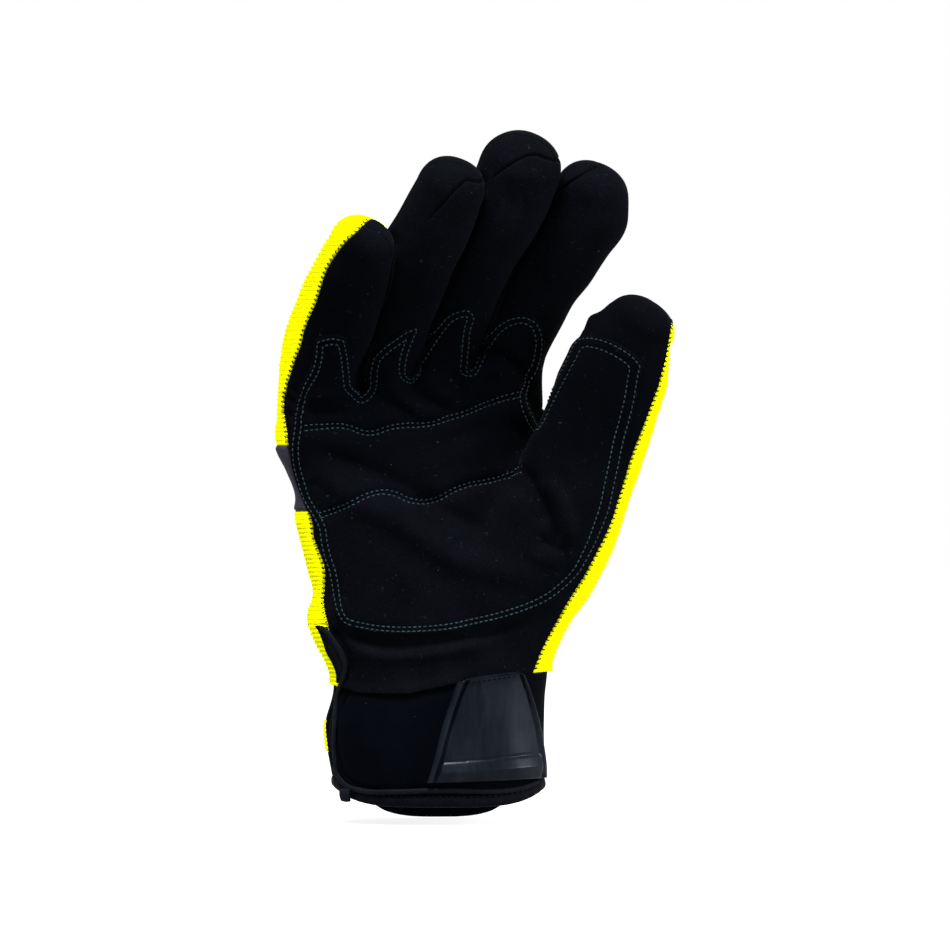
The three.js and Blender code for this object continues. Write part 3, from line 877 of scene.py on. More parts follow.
class Bench:
    """Builds one material's nodes."""

    def __init__(self, name: str) -> None:
        """Starts a material with a Principled shader."""
        self.material = bpy.data.materials.new(name)
        self.material.use_nodes = True
        self.tree = self.material.node_tree
        self.shader = self.tree.nodes["Principled BSDF"]
        self.place = self.node("ShaderNodeTexCoord").outputs["Object"]

    def node(self, kind: str, settings: dict | None = None, inputs: dict | None = None) -> bpy.types.Node:
        """Adds a node.

        Args:
            kind: The node's type.
            settings: Properties that are set first.
            inputs: Values or links by socket name or number.

        Returns:
            The node.
        """
        made = self.tree.nodes.new(kind)
        for key, value in (settings or {}).items():
            setattr(made, key, value)
        for key, value in (inputs or {}).items():
            self.plug(made.inputs[key], value)
        return made

    def plug(self, socket: Socket, value: object) -> None:
        """Links a signal or socket to an input, or sets a plain value on it."""
        if isinstance(value, Signal):
            self.tree.links.new(value.socket, socket)
        elif isinstance(value, Socket):
            self.tree.links.new(value, socket)
        else:
            socket.default_value = value

    def number(
        self, kind: str, settings: dict | None = None, inputs: dict | None = None, output: int | str = 0
    ) -> Signal:
        """Adds a node and returns one of its outputs as a signal."""
        return Signal(self, self.node(kind, settings, inputs).outputs[output])

    def axis(self, which: str) -> Signal:
        """One coordinate of the surface point, in millimetres."""
        return self.number("ShaderNodeSeparateXYZ", None, {0: self.place}, which) * (1 / METRE)

    def noise(
        self, grain: float, detail: float = 3.0, rough: float = 0.55, stretch: Triple = (1.0, 1.0, 1.0)
    ) -> Signal:
        """Cloudy noise whose blobs are about grain millimetres across."""
        place = self.node("ShaderNodeMapping", None, {"Vector": self.place, "Scale": stretch}).outputs[0]
        inputs = {"Vector": place, "Scale": 1 / (grain * METRE), "Detail": detail, "Roughness": rough}
        return self.number("ShaderNodeTexNoise", None, inputs)

    def specks(self, spacing: float, size: float, share: float) -> Signal:
        """Scattered specks: cells of the given spacing, of which a share holds a round dot of the given size."""
        inputs = {"Vector": self.place, "Scale": 1 / (spacing * METRE)}
        cells = self.node("ShaderNodeTexVoronoi", None, inputs)
        dot = 1 - Signal(self, cells.outputs["Distance"]).within(0.4 * size / spacing, size / spacing)
        chance = self.number("ShaderNodeSeparateColor", None, {0: cells.outputs["Color"]})
        return dot * chance.within(1 - share, 1 - share + 0.01)

    def blend(self, share: Signal, low: Triple | Socket, high: Triple) -> Socket:
        """A colour that goes from low to high as the signal goes from 0 to 1."""
        mix = self.node("ShaderNodeMix", {"data_type": "RGBA"})
        self.plug(mix.inputs["Factor"], share)
        self.plug(mix.inputs[6], (*low, 1.0) if isinstance(low, tuple) else low)
        self.plug(mix.inputs[7], (*high, 1.0))
        return mix.outputs[2]

    def finish(self, height: Signal | None, relief: float, **sockets: object) -> Material:
        """Sets the shader's sockets, and turns a height of 0 to 1 into a bump of relief millimetres."""
        for name, value in sockets.items():
            self.plug(self.shader.inputs[name.replace("_", " ")], (*value, 1.0) if isinstance(value, tuple) else value)
        if height is not None:
            bump = self.node("ShaderNodeBump", None, {"Strength": 1.0, "Distance": relief * METRE, "Height": height})
            self.plug(self.shader.inputs["Normal"], bump.outputs[0])
        return self.material


@dataclass(frozen=True)
class Finish:
    """What every finish has: a name, and a dark and a light colour that its pattern goes between."""

    name: str
    dark: Triple
    light: Triple


@dataclass(frozen=True)
class Suede(Finish):
    """Matt synthetic suede: short nap in small brushed patches, painted shade at the finger roots; pale dust."""

    relief: float = 0.16

    def make(self) -> Material:
        """Builds the material."""
        bench = Bench(self.name)
        nap = bench.noise(0.55, 4.0, 0.65)
        brushed = bench.noise(9.0, 3.0, 0.6, (1.0, 1.0, 0.6))
        height = bench.axis("Z")
        # Painted shade: the colour is darkened between heights of 106 and 206 mm, most at the finger roots.
        painted_root_shade = height.within(106.0, 126.0) * (1 - height.within(176.0, 206.0)) * 0.75
        share = (brushed.within(0.3, 0.75) * 0.3 + nap.within(0.3, 0.7) * 0.7) * (1 - painted_root_shade)
        colour = bench.blend(share, self.dark, self.light)
        fibre = 1 - (bench.noise(4.0, 1.0) - 0.5).size().within(0.002, 0.010)
        lint = fibre * bench.noise(2.6, 2.0).within(0.62, 0.68) * 0.10
        dust = bench.specks(4.2, 0.16, 0.30) * 0.5 + bench.specks(2.1, 0.11, 0.34) * 0.3 + lint
        colour = bench.blend(dust, colour, (0.07, 0.075, 0.085))
        relief = nap * 0.7 + bench.noise(1.6, 2.0, 0.5) * 0.6
        return bench.finish(
            relief,
            self.relief,
            Base_Color=colour,
            Roughness=0.88 + nap * 0.1,
            Specular_IOR_Level=0.006,
            Sheen_Weight=0.006,
            Sheen_Roughness=0.32,
            Sheen_Tint=(0.75, 0.78, 1.0),
        )


@dataclass(frozen=True)
class RibKnit(Finish):
    """High-visibility knit: level ribs, each a row of small slanted loops."""

    def make(self) -> Material:
        """Builds the material.

        The loops' height is the size of a sine round the hand, shifted by half a loop per rib. Painted shade darkens
        the colour between the ribs, whose crests lie at z = 24 mm and every pitch above it, and between the loops.
        """
        bench = Bench(self.name)
        x, y, z = (bench.axis(c) for c in "XYZ")
        turn = math.tau / KNIT_PITCH
        slant = (z * turn).wave() * 0.9
        loops = ((x * 1.0 + y * 0.75) * (math.tau / 1.5) + slant).wave().size()
        fuzz = bench.noise(0.3, 2.0)
        crest = ((z - 24.0) * turn + math.pi / 2).wave()
        # Painted shade: darker colour in the troughs between the ribs and between the loops; the fuzz adds random tone.
        shade = crest.within(-0.95, 0.1) * 0.6 + loops.within(0.0, 0.75) * 0.25 + fuzz * 0.15
        colour = bench.blend(shade, self.dark, self.light)
        return bench.finish(
            crest * 0.5 + loops * 0.22 + fuzz * 0.12,
            0.42,
            Base_Color=colour,
            Roughness=0.72 + fuzz * 0.15,
            Specular_IOR_Level=0.0,
        )


@dataclass(frozen=True)
class Jersey(Finish):
    """A smooth foam face, lining or woven band: fine rows of knit with faint mottling."""

    pitch: float = 0.55
    relief: float = 0.05
    gloss: float = 0.008
    rough: float = 0.7

    def make(self) -> Material:
        """Builds the material: two crossed sines make the rows and columns of loops."""
        bench = Bench(self.name)
        x, y, z = (bench.axis(c) for c in "XYZ")
        turn = math.tau / self.pitch
        weave = (z * turn).wave() * ((x + y * 0.8) * turn).wave()
        cloud = bench.noise(12.0, 3.0)
        fine = bench.noise(0.5, 2.0)
        colour = bench.blend(cloud.within(0.3, 0.7) * 0.6 + weave.within(-1.0, 1.0) * 0.4, self.dark, self.light)
        colour = bench.blend(bench.specks(4.5, 0.15, 0.25) * 0.6, colour, (0.05, 0.055, 0.06))
        return bench.finish(
            weave * 0.5 + fine * 0.5,
            self.relief,
            Base_Color=colour,
            Roughness=self.rough + cloud * 0.12,
            Specular_IOR_Level=self.gloss,
            Sheen_Weight=0.002,
            Sheen_Roughness=0.4,
        )


@dataclass(frozen=True)
class Tape(Finish):
    """Ribbed elastic tape: a fibrous face with fine upright ribs, worn lighter in patches."""

    pitch: float = 0.9
    relief: float = 0.08

    def make(self) -> Material:
        """Builds the material: a sine round the wrist makes the ribs."""
        bench = Bench(self.name)
        grain = bench.noise(0.35, 3.0)
        worn = bench.noise(5.0, 3.0)
        ribs = ((bench.axis("X") + bench.axis("Y") * 0.8) * (math.tau / self.pitch)).wave().within(-1.0, 0.6)
        colour = bench.blend(worn.within(0.35, 0.7) * 0.45 + grain * 0.25 + ribs * 0.3, self.dark, self.light)
        return bench.finish(
            grain * 0.4 + ribs * 0.6,
            self.relief,
            Base_Color=colour,
            Roughness=0.55 + worn * 0.2,
            Specular_IOR_Level=0.02,
        )


@dataclass(frozen=True)
class MouldedRubber(Finish):
    """Semi-gloss moulded rubber: fine cast grain, faint vertical streaks and scuffs."""

    def make(self) -> Material:
        """Builds the material."""
        bench = Bench(self.name)
        grain = bench.noise(0.4, 2.0)
        streak = bench.noise(6.0, 4.0, 0.6, (1.0, 1.0, 0.25))
        scuff = bench.noise(1.8, 5.0, 0.7).within(0.55, 0.75)
        colour = bench.blend(streak.within(0.35, 0.7), self.dark, self.light)
        return bench.finish(
            grain * 0.6 + streak * 0.4,
            0.03,
            Base_Color=colour,
            Roughness=0.30 + scuff * 0.10 + streak * 0.06,
            Specular_IOR_Level=0.06,
            Specular_Tint=(0.74, 0.84, 1.0),
        )


@dataclass(frozen=True)
class Thread(Finish):
    """Sewing thread: two plies twisted round each other, with a painted highlight on their crests and painted shade at
    the finger roots.
    """

    def make(self) -> Material:
        """Builds the material."""
        bench = Bench(self.name)
        x, y, z = (bench.axis(c) for c in "XYZ")
        ply = ((x + z + y * 0.5) * (math.tau / 0.42)).wave()
        shade = bench.noise(3.0, 2.0)
        # Painted light: a highlight on the plies' crests, and painted shade darkening the thread from 118 mm upwards,
        # over the finger roots.
        share = (ply.within(-0.8, 0.8) * 0.5 + shade.within(0.3, 0.7) * 0.5) * (1 - z.within(118.0, 140.0) * 0.5)
        colour = bench.blend(share, self.dark, self.light)
        return bench.finish(ply, 0.04, Base_Color=colour, Roughness=0.6 + shade * 0.2, Specular_IOR_Level=0.05)


class Wardrobe:
    """The glove's finishes, made once."""

    def __init__(self) -> None:
        """Builds every material."""
        self.suede = Suede("suede", (0.0005, 0.0006, 0.0010), (0.0014, 0.0017, 0.0026)).make()
        self.patch = Suede("patch_suede", (0.0004, 0.0005, 0.0009), (0.0012, 0.0015, 0.0023), 0.18).make()
        self.knit = RibKnit("yellow_rib_knit", (0.37, 0.39, 0.0), (0.78, 0.81, 0.0)).make()
        self.lining = Jersey("inner_lining", (0.006, 0.007, 0.008), (0.012, 0.013, 0.015), 0.9, 0.10).make()
        self.band = Jersey("knuckle_band_weave", (0.007, 0.0062, 0.010), (0.017, 0.015, 0.024), 1.1, 0.14, 0.06).make()
        self.foam = Jersey("neoprene_face", (0.0001, 0.0003, 0.0008), (0.0004, 0.0007, 0.0015)).make()
        self.tape = Tape("ribbed_binding", (0.0007, 0.0010, 0.0017), (0.0026, 0.0036, 0.0055)).make()
        self.hem = Tape("hem_band", (0.0002, 0.0003, 0.0008), (0.0010, 0.0012, 0.0028), 0.8, 0.10).make()
        self.lip = Tape("lip_cloth", (0.0005, 0.0006, 0.0011), (0.0019, 0.0022, 0.0036)).make()
        self.rubber = MouldedRubber("moulded_rubber", (0.0010, 0.0014, 0.0025), (0.0030, 0.0040, 0.0062)).make()
        self.thread = Thread("slate_thread", (0.004, 0.008, 0.010), (0.017, 0.034, 0.041)).make()
        self.black_thread = Thread("black_thread", (0.0006, 0.0006, 0.0009), (0.002, 0.002, 0.003)).make()


# ---------------------------------------------------------------- seams and stitches


class Seam(Enum):
    """The two long seams between the dark palm side and the yellow back, as the front view shows them (x, z)."""

    LITTLE_SIDE = (
        (-22.5, 212.0), (-24.4, 207.0), (-25.6, 205.9), (-29.6, 201.5), (-34.3, 197.1), (-38.0, 192.7), (-41.2, 187.6),
        (-43.4, 181.5), (-45.6, 174.9), (-48.1, 169.8), (-50.0, 164.7), (-51.0, 160.3), (-52.9, 155.9), (-54.7, 150.8),
        (-56.2, 145.7), (-57.4, 141.0), (-57.5, 136.2), (-56.6, 130.4), (-55.8, 123.5), (-54.3, 117.5), (-52.1, 110.0),
        (-50.4, 105.9), (-49.3, 102.6), (-48.1, 99.6), (-47.0, 95.0), (-46.5, 89.9), (-44.6, 85.0), (-43.0, 80.6),
        (-42.5, 75.3), (-42.9, 70.0), (-43.1, 66.5), (-42.4, 62.5), (-41.3, 58.5), (-40.7, 54.1), (-39.8, 49.0),
        (-38.0, 44.6), (-37.0, 38.0), (-36.8, 30.0),
    )
    THUMB_SIDE = (
        (92.0, 178.0), (87.0, 172.5), (84.9, 168.6), (84.2, 165.0), (83.4, 160.7), (82.6, 155.8), (81.4, 151.0),
        (79.9, 145.5), (77.9, 140.0), (75.7, 133.9), (73.1, 127.3), (70.5, 120.6), (68.2, 113.0), (66.0, 105.9),
        (63.3, 97.2), (60.0, 89.4), (56.3, 82.3), (52.6, 75.3), (48.9, 69.6), (46.0, 64.8), (43.4, 59.9), (40.8, 55.3),
        (38.3, 50.4), (35.6, 44.0), (33.2, 37.0), (32.4, 30.0),
    )

    def across(self, z: np.ndarray) -> np.ndarray:
        """x of the seam at each height."""
        path = np.array(self.value)[::-1]
        return through_rows(path[:, 1], path[:, :1], z)[..., 0]


@dataclass(frozen=True)
class Stitch:
    """A kind of stitch: its spacing along the row, its length and its thread's radius."""

    pitch: float
    length: float
    radius: float


PATCH_STITCH = Stitch(1.9, 1.5, 0.27)
EDGE_OVER_STITCH = Stitch(1.9, 1.7, 0.24)
EDGE_RUN_STITCH = Stitch(1.9, 1.5, 0.24)
HEM_STITCH = Stitch(2.3, 1.8, 0.26)
TAB_STITCH = Stitch(1.9, 1.4, 0.26)


@dataclass
class Stitcher:
    """Makes stitches that lie on the front of the hand."""

    volume: Volume
    depth: np.ndarray = field(init=False)
    seed: int = 7

    def __post_init__(self) -> None:
        """Reads the front surface; columns beside the hand take the depth of their nearest neighbour in x."""
        depth = self.volume.front_map()
        known = ~np.isnan(depth)
        rows = np.arange(depth.shape[0])
        self.depth = np.zeros(depth.shape)
        for level in np.nonzero(known.any(axis=0))[0]:
            seen = known[:, level]
            self.depth[:, level] = np.interp(rows, rows[seen], depth[seen, level])

    def on_front(self, places: np.ndarray) -> tuple[np.ndarray, np.ndarray]:
        """Surface points in front of places (x, z), and the outward directions there."""
        spot = (places - self.volume.origin[[0, 2]]) / self.volume.voxel
        low = np.clip(np.floor(spot).astype(int), 0, np.array(self.depth.shape) - 2)
        t = np.clip(spot - low, 0.0, 1.0)
        y = sum(
            np.prod(np.where(corner, t, 1 - t), axis=1) * self.depth[tuple((low + corner).T)]
            for corner in np.ndindex(2, 2)
        )
        points = np.stack([places[:, 0], y, places[:, 1]], axis=1)
        for _ in range(3):
            points = points - self.volume.sample(points)[:, None] * self.volume.slope(points) * 0.8
        return points, self.volume.slope(points)

    def row(self, solid: Solid, line: np.ndarray, kind: Stitch, lift: float) -> None:
        """Adds a row of stitches along a line of places (x, z), where the cloth faces forward."""
        points, _ = self.on_front(resample(line, 0.5))
        jumps = np.linalg.norm(np.diff(points, axis=0), axis=1) > 4.0
        for run in np.split(points, np.nonzero(jumps)[0] + 1):
            if len(run) > 4:
                centres = resample(run, kind.pitch)
                if len(centres) > 1:
                    along, out = unit(np.gradient(centres, axis=0)), self.volume.slope(centres)
                    faces = out[:, 1] < 0.05
                    self.stitches(solid, centres[faces], along[faces], out[faces], kind, lift)

    def stitches(
        self, solid: Solid, centres: np.ndarray, along: np.ndarray, out: np.ndarray, kind: Stitch, lift: float
    ) -> None:
        """Adds one arched stitch at each centre.

        A stitch is six rings of five points round its own line. The line bows out by a parabola and its ends sink into
        the cloth; the radius shrinks to a point at both ends.

        Args:
            solid: Where the stitches go.
            centres: Places (N, 3).
            along: Directions (N, 3).
            out: Outward directions (N, 3).
            kind: Sizes of the stitches.
            lift: Height of the stitch's crest above the centres.
        """
        random = np.random.default_rng(self.seed + len(centres))
        out = unit(out - (out * along).sum(axis=1, keepdims=True) * along)
        side = np.cross(along, out)
        along = unit(along + side * random.normal(0.0, 0.07, (len(centres), 1)))
        side = np.cross(along, out)
        share = np.linspace(-0.94, 0.94, 6)
        angle = np.linspace(0.0, math.tau, 5, endpoint=False)
        half = 0.5 * kind.length * random.uniform(0.92, 1.06, (len(centres), 1, 1, 1))
        spread = (kind.radius * (1 - share**4) ** 0.5)[None, :, None, None]
        line = (
            centres[:, None, None, :]
            + along[:, None, None, :] * share[None, :, None, None] * half
            + out[:, None, None, :] * (lift - 1.5 * kind.radius * share**2)[None, :, None, None]
        )
        cosine, sine = (turn[None, None, :, None] for turn in (np.cos(angle), np.sin(angle)))
        rings = line + (side[:, None, None, :] * cosine + out[:, None, None, :] * sine) * spread
        tips = centres[:, None, :] + along[:, None, :] * np.array([-0.5, 0.5])[None, :, None] * kind.length
        tips = tips + out[:, None, :] * (lift - 1.5 * kind.radius)
        points = np.concatenate([rings.reshape(len(centres), 30, 3), tips], axis=1)
        index = grid_index(6, 5)
        right = np.roll(index, -1, axis=1)
        quads = np.stack([index[:-1], index[1:], right[1:], right[:-1]], axis=-1).reshape(-1, 4)
        fans = np.vstack(
            [
                np.stack([index[0], right[0], np.full(5, 30)], axis=1),
                np.stack([right[-1], index[-1], np.full(5, 31)], axis=1),
            ]
        )
        shift = (np.arange(len(centres)) * 32)[:, None, None]
        solid.add(points.reshape(-1, 3), [(quads[None] + shift).reshape(-1, 4), (fans[None] + shift).reshape(-1, 3)])


# ---------------------------------------------------------------- the hand's pieces


@dataclass
class HandCover:
    """Everything sewn over the hand: suede palm side, yellow backs, knuckle band, reinforcement patch and stitches."""

    finishes: Wardrobe
    hand: Hand = field(default_factory=Hand)
    thickness: float = 1.9
    groove: float = 0.75
    groove_reach: float = 1.2
    tip_groove: float = 1.3
    wall_groove: float = 0.45
    wall_reach: float = 0.8
    rim: float = 1.1
    rib: float = 0.55
    band_low: float = 100.0
    band_high: float = 124.0
    patch_lift: float = 1.25
    edge_beyond_row: float = 1.35
    outer_row: Path = (
        (-31, 58.2), (-24, 56.9), (-14, 56.2), (-5, 56.5), (5, 57.6), (15, 59.9), (25, 62.5), (33, 65.2), (40, 68.7),
        (46, 73.5), (50.3, 78.2), (53.6, 84), (56.6, 90), (59, 95.8), (61, 101.5), (62.4, 108), (64.2, 116),
        (66, 124.5), (68.2, 132.5), (70, 140), (71.3, 147.5), (72.4, 153), (72.4, 153), (69.6, 156.2), (65.5, 159),
        (61, 161.2), (56, 162.4), (52.2, 162.2), (50.2, 160.5), (47.6, 155.6), (44.6, 149.4), (41.6, 143),
        (39, 137.5), (36.6, 132.4), (35.2, 130.4), (35.2, 130.4), (33.4, 133.6), (31.2, 138.6), (30.6, 142),
        (32.2, 146), (34.4, 151), (36, 156.5),
        (36.8, 162), (36.4, 166), (34.6, 169.2), (30.5, 170.9), (26, 170.2), (21.6, 167.4), (18, 163), (15.4, 158.4),
        (14.0, 154.4), (14.0, 154.4), (11.6, 151.2), (9.4, 151.4), (9.4, 155), (9.9, 161), (10.7, 167), (11.8, 171.4),
        (10.4, 173.3), (7, 173.1), (3.4, 171.3), (0, 167.4), (-3, 163), (-5.6, 158.4), (-7.6, 153.8), (-8.8, 150.4),
        (-10.8, 148.3), (-13, 149.4), (-13.2, 153.4), (-12.2, 158), (-10.6, 162.4), (-8.6, 167), (-8.6, 167),
        (-12, 165.7), (-16, 162.9), (-20.4, 159.5), (-23.6, 156), (-24.6, 151.5), (-25, 147), (-26.4, 143.2),
        (-28.8, 141.2), (-31, 143.1), (-33.2, 145.4), (-33.8, 150), (-34.2, 156), (-35, 162.3), (-35, 162.3),
        (-38, 163.1), (-41, 162.8), (-44.4, 161.6), (-44.4, 161.6), (-44.9, 156), (-46.4, 151), (-48.7, 147),
        (-50.6, 142), (-52, 136), (-52.6, 130), (-53.4, 123.5), (-52.9, 117.5), (-51, 110.5), (-48.6, 103.4),
        (-45.6, 98), (-43.6, 94), (-42.7, 88.5), (-41.4, 83), (-39.9, 78.6), (-38.8, 73.5), (-38, 68), (-36.8, 63),
        (-34.4, 59.6), (-31, 58.2),
    )
    creases: tuple[Path, ...] = (
        ((-50, 130.2), (-44, 130.6), (-38.5, 130.9), (-33, 130.2), (-28, 128.4), (-24, 128.4), (-19, 130.1),
         (-14, 130.9), (-8, 131.1), (-2, 132), (4, 133.8), (10, 136), (17, 138.8), (23, 141.2), (29.3, 142.6)),
        ((-44.2, 98.2), (-38, 100.4), (-31, 103.4), (-26, 105.6), (-21, 106.6), (-16.5, 105.8), (-11, 103.4),
         (-6, 103.0), (-1, 104.4), (5, 107.6), (11, 109.6), (18, 110.8), (25, 112.7), (30.6, 114.9)),
    )
    dart: Path = ((35.0, 129.4), (33.0, 125.6), (31.6, 121.8), (31.0, 118), (30.8, 114.9))
    volume: Volume = field(init=False)
    skin: Skin = field(init=False)
    stitcher: Stitcher = field(init=False)

    def __post_init__(self) -> None:
        """Works out the hand's field and skin."""
        self.volume = self.hand.folded_field()
        self.skin = Skin.of(self.volume)
        self.stitcher = Stitcher(self.volume)

    @staticmethod
    def wrist_edge(x: np.ndarray) -> np.ndarray:
        """Height of the suede's lower edge at each x: it dips left of the middle and climbs to the thumb side."""
        table = np.array(
            [(-46, 37.2), (-35, 35.4), (-30, 33.9), (-20, 33.4), (-13, 33.4), (-5, 34.9), (6, 37.2), (18, 39.2),
             (32, 40.6), (44, 41)],
            dtype=float,
        )
        return through_rows(table[:, 0], table[:, 1:], x)[..., 0]

    @staticmethod
    def row_spacing(places: np.ndarray) -> np.ndarray:
        """Gap between the patch's two stitch rows at places (x, z): wider along the thumb, narrower at the heel."""
        x, z = places[:, 0], places[:, 1]
        return 1.5 + 0.5 * ease(z, 58.0, 72.0) + 1.2 * ease(x, 38.0, 60.0) * ease(z, 70.0, 105.0)

    def label(self) -> None:
        """Gives every skin point its seam values.

        knit is positive on the yellow back. On the front it follows the two long seams. Behind, it is how far a
        point lies behind each body's own middle, mixed by how near the bodies are, and it never passes on to a face
        that looks forward. On the digits it starts further back, because suede side walls lie between, and stops
        short of three tips, which suede wraps cover. tip is zero along the seam of each fingertip wrap, whose groove
        fades with tip_depth. wall is zero along the front edge of the side walls, which the outer sides lack. band
        is positive inside the knuckle band, and height above the suede's lower edge.
        """
        points = self.skin.points
        x, z = points[:, 0], points[:, 2]
        bodies = [np.abs(self.hand.palm.distance(x, points[:, 1], z))]
        backs = [self.hand.palm.back_of(points) - 1.5]
        wall = [np.full(len(x), -9.0)]
        tip = np.full(len(x), -60.0)
        best = np.full(len(x), 1e3)
        fade = np.zeros(len(x))
        for name, digit in self.hand.digits.items():
            distance, across, through, deep, reach = digit.place(points)
            nearest = distance < best
            back = through - 0.42 * deep
            line = np.full(len(x), 60.0)
            if name in ("ring", "middle", "index"):
                back = np.minimum(back, -11.0 - reach)
                line = {
                    "ring": 9.5 - 0.9 * np.maximum(0.0, 5.0 - across) ** 1.55,
                    "middle": 11.0 - 0.085 * np.minimum(across - 5.0, 0.0) ** 2,
                    "index": 13.6 - np.where(across < 2.0, 0.07, 0.02) * (across - 2.0) ** 2,
                }[name]
            tip = np.where(nearest, reach - line, tip)
            inner = ease(across, -9.0, -4.0) if name in ("ring", "middle") else 1.0
            fade = np.where(nearest, inner * ease(reach, -11.0, -3.0) * (1 - ease(through, 1.0, 5.0)), fade)
            best = np.minimum(best, distance)
            bodies.append(np.abs(distance))
            backs.append(back)
            outer = {"little": across < 0, "index": across > 0, "thumb": across < 99}.get(name, across > 99)
            wall.append(np.where(outer, -9.0, through + 0.34 * deep))
        weight = np.exp(-np.array(bodies) / 1.2) + 1e-9
        weight /= weight.sum(axis=0)
        values = self.skin.values
        left = Seam.LITTLE_SIDE.across(z) - x
        right = x - Seam.THUMB_SIDE.across(z)
        behind = np.minimum((weight * np.array(backs)).sum(axis=0), 14.0 * (values["out"][:, 1] + 0.05))
        values["knit"] = soft_max(np.maximum(left, right), behind, 4.0)
        values["tip"] = np.maximum(tip, -20.0)
        values["tip_depth"] = fade
        values["wall"] = (weight * np.array(wall)).sum(axis=0)
        band = (self.band_high - self.band_low) / 2 - np.abs(z - 0.5 * (self.band_high + self.band_low))
        clear_of_thumb = 0.5 * (bodies[-1] - bodies[0]) - 1.0
        values["band"] = np.minimum(band, clear_of_thumb)
        values["height"] = z - self.wrist_edge(x)
        for name in ("knit", "tip", "wall", "band"):
            self.skin.measure(name)

    def grooved(self, name: str, depth: float, reach: float) -> np.ndarray:
        """Depth of a sewn groove along a seam: -depth * (1 - distance / reach)^2 within its reach."""
        return -depth * np.clip(1 - np.abs(self.skin.values[name]) / reach, 0.0, 1.0) ** 2

    def sew(self) -> None:
        """Cuts the skin along its seams, presses the grooves in and raises the knit's ribs.

        A rib is a cosine of the height with crests on the grid's rows. It fades out towards the seams and away from the
        sides, where the outline no longer shows it and the finish draws it.
        """
        self.label()
        reach = self.groove_reach
        for name in ("knit", "tip"):
            for level in (0.0, -0.4 * reach, 0.4 * reach, -reach, reach):
                self.skin.cut(name, level)
        for level in (0.0, -self.wall_reach, self.wall_reach):
            self.skin.cut("wall", level)
        for level in (0.0, 0.5, self.rim):
            self.skin.cut("band", level)
        self.skin.cut("height", 0.0)
        self.skin.values["out"] = unit(self.skin.values["out"])
        values = self.skin.values
        lift = self.grooved("knit", self.groove, reach)
        lift += self.grooved("tip", self.tip_groove, reach) * values["tip_depth"]
        lift += self.grooved("wall", self.wall_groove, self.wall_reach) * (values["knit"] < -1.5)
        under_tab = ease(self.skin.points[:, 0], 2.0, 9.0) * (values["out"][:, 1] < 0)
        lift += (1.0 - 0.9 * under_tab) * (1 - ease(values["height"], 0.4, 5.0))
        yellow = ease(values["knit"], 0.2, 1.4) * (1 - ease(values["band"], -0.6, 0.2))
        phase = (self.skin.points[:, 2] - self.hand.low[2]) * math.tau / KNIT_PITCH
        sideways = ease(np.abs(values["out"][:, 0]), 0.6, 0.85)
        self.skin.values["lift"] = lift + yellow * sideways * self.rib * np.cos(phase)

    def covers(self) -> None:
        """The suede palm side, the two yellow backs and the knuckle band, each a closed sheet."""
        skin = self.skin.part("height", above=0.0)
        suede, knit = skin.part("knit", below=0.0), skin.part("knit", above=0.0)
        band, plain = knit.part("band", above=0.0), knit.part("band", below=0.0)
        x, z = plain.points[:, 0], plain.points[:, 2]
        plain.values["upper"] = z - self.band_high + 0.5 + 60 * (x > 34) * (z > 175)
        upper, lower = plain.part("upper", above=0.0), plain.part("upper", below=0.0)
        rise = 0.9 * np.sqrt(np.clip(band.values["band"] / self.rim, 0.0, 1.0))
        suede_nodes = [
            "palm_panel", "little_finger_palm_side", "little_finger_inner_wall", "ring_finger_palm_side",
            "ring_finger_inner_wall", "ring_finger_outer_wall", "ring_finger_tip_wrap", "middle_finger_palm_side",
            "middle_finger_inner_wall", "middle_finger_outer_wall", "middle_finger_tip_wrap",
            "index_finger_palm_side", "index_finger_outer_wall", "index_finger_tip_wrap", "thumb_palm_side",
        ]
        upper_nodes = [
            "back_upper_panel", "little_finger_back", "ring_finger_back", "middle_finger_back", "index_finger_back",
        ]
        for part, raised, name, finish, nodes, slot in (
            (suede, 0.0, "suede_palm_side", self.finishes.suede, suede_nodes, "suede"),
            (upper, 0.0, "upper_knit_back", self.finishes.knit, upper_nodes, "yellow_knit"),
            (lower, 0.0, "lower_knit_back", self.finishes.knit, ["back_lower_panel", "thumb_back"], "yellow_knit"),
            (band, rise, "knuckle_band_cover", self.finishes.band, ["knuckle_band"], "dark_band"),
        ):
            sheet = part.shell(part.values["lift"] + raised, -self.thickness)
            sheet.piece(name, [finish, self.finishes.lining], nodes, slot)

    def patch(self) -> None:
        """The reinforcement patch: the skin inside its outline, lifted, with a rounded edge that meets the suede."""
        line = smooth_path(self.outer_row, 0.7)
        skin = self.skin.part("height", above=4.0).part("knit", below=-0.4)
        skin.values["facing"] = -skin.values["out"][:, 1]
        skin = skin.part("facing", above=-0.1)
        places = skin.points[:, [0, 2]]
        distance, _ = line_reach(places, line, closed=True)
        skin.values["edge"] = np.where(inside_line(places, line), distance, -distance) + self.edge_beyond_row
        for level in (0.0, 0.18, 0.6, self.rim):
            skin.cut("edge", level)
        skin = skin.part("edge", above=0.0)
        skin.values["out"] = unit(skin.values["out"])
        edge = skin.values["edge"]
        top = self.patch_lift * np.sqrt(1 - (1 - np.clip(edge / self.rim, 0.0, 1.0)) ** 2) - 0.25 * (edge < 0.05)
        press = np.zeros(len(edge))
        places = skin.points[:, [0, 2]]
        apart = self.row_spacing(places)
        for path in self.creases:
            gap, _ = line_reach(places, smooth_path(path, 0.8))
            press -= 0.5 * np.exp(-((gap / 1.4) ** 2))
        for row in (0.0, apart):
            press -= 0.3 * np.exp(-(((edge - self.edge_beyond_row - row) / 0.6) ** 2))
        skin.shell(top + press, -0.6).piece(
            "palm_reinforcement", [self.finishes.patch], ["reinforcement_patch"], "suede_patch"
        )

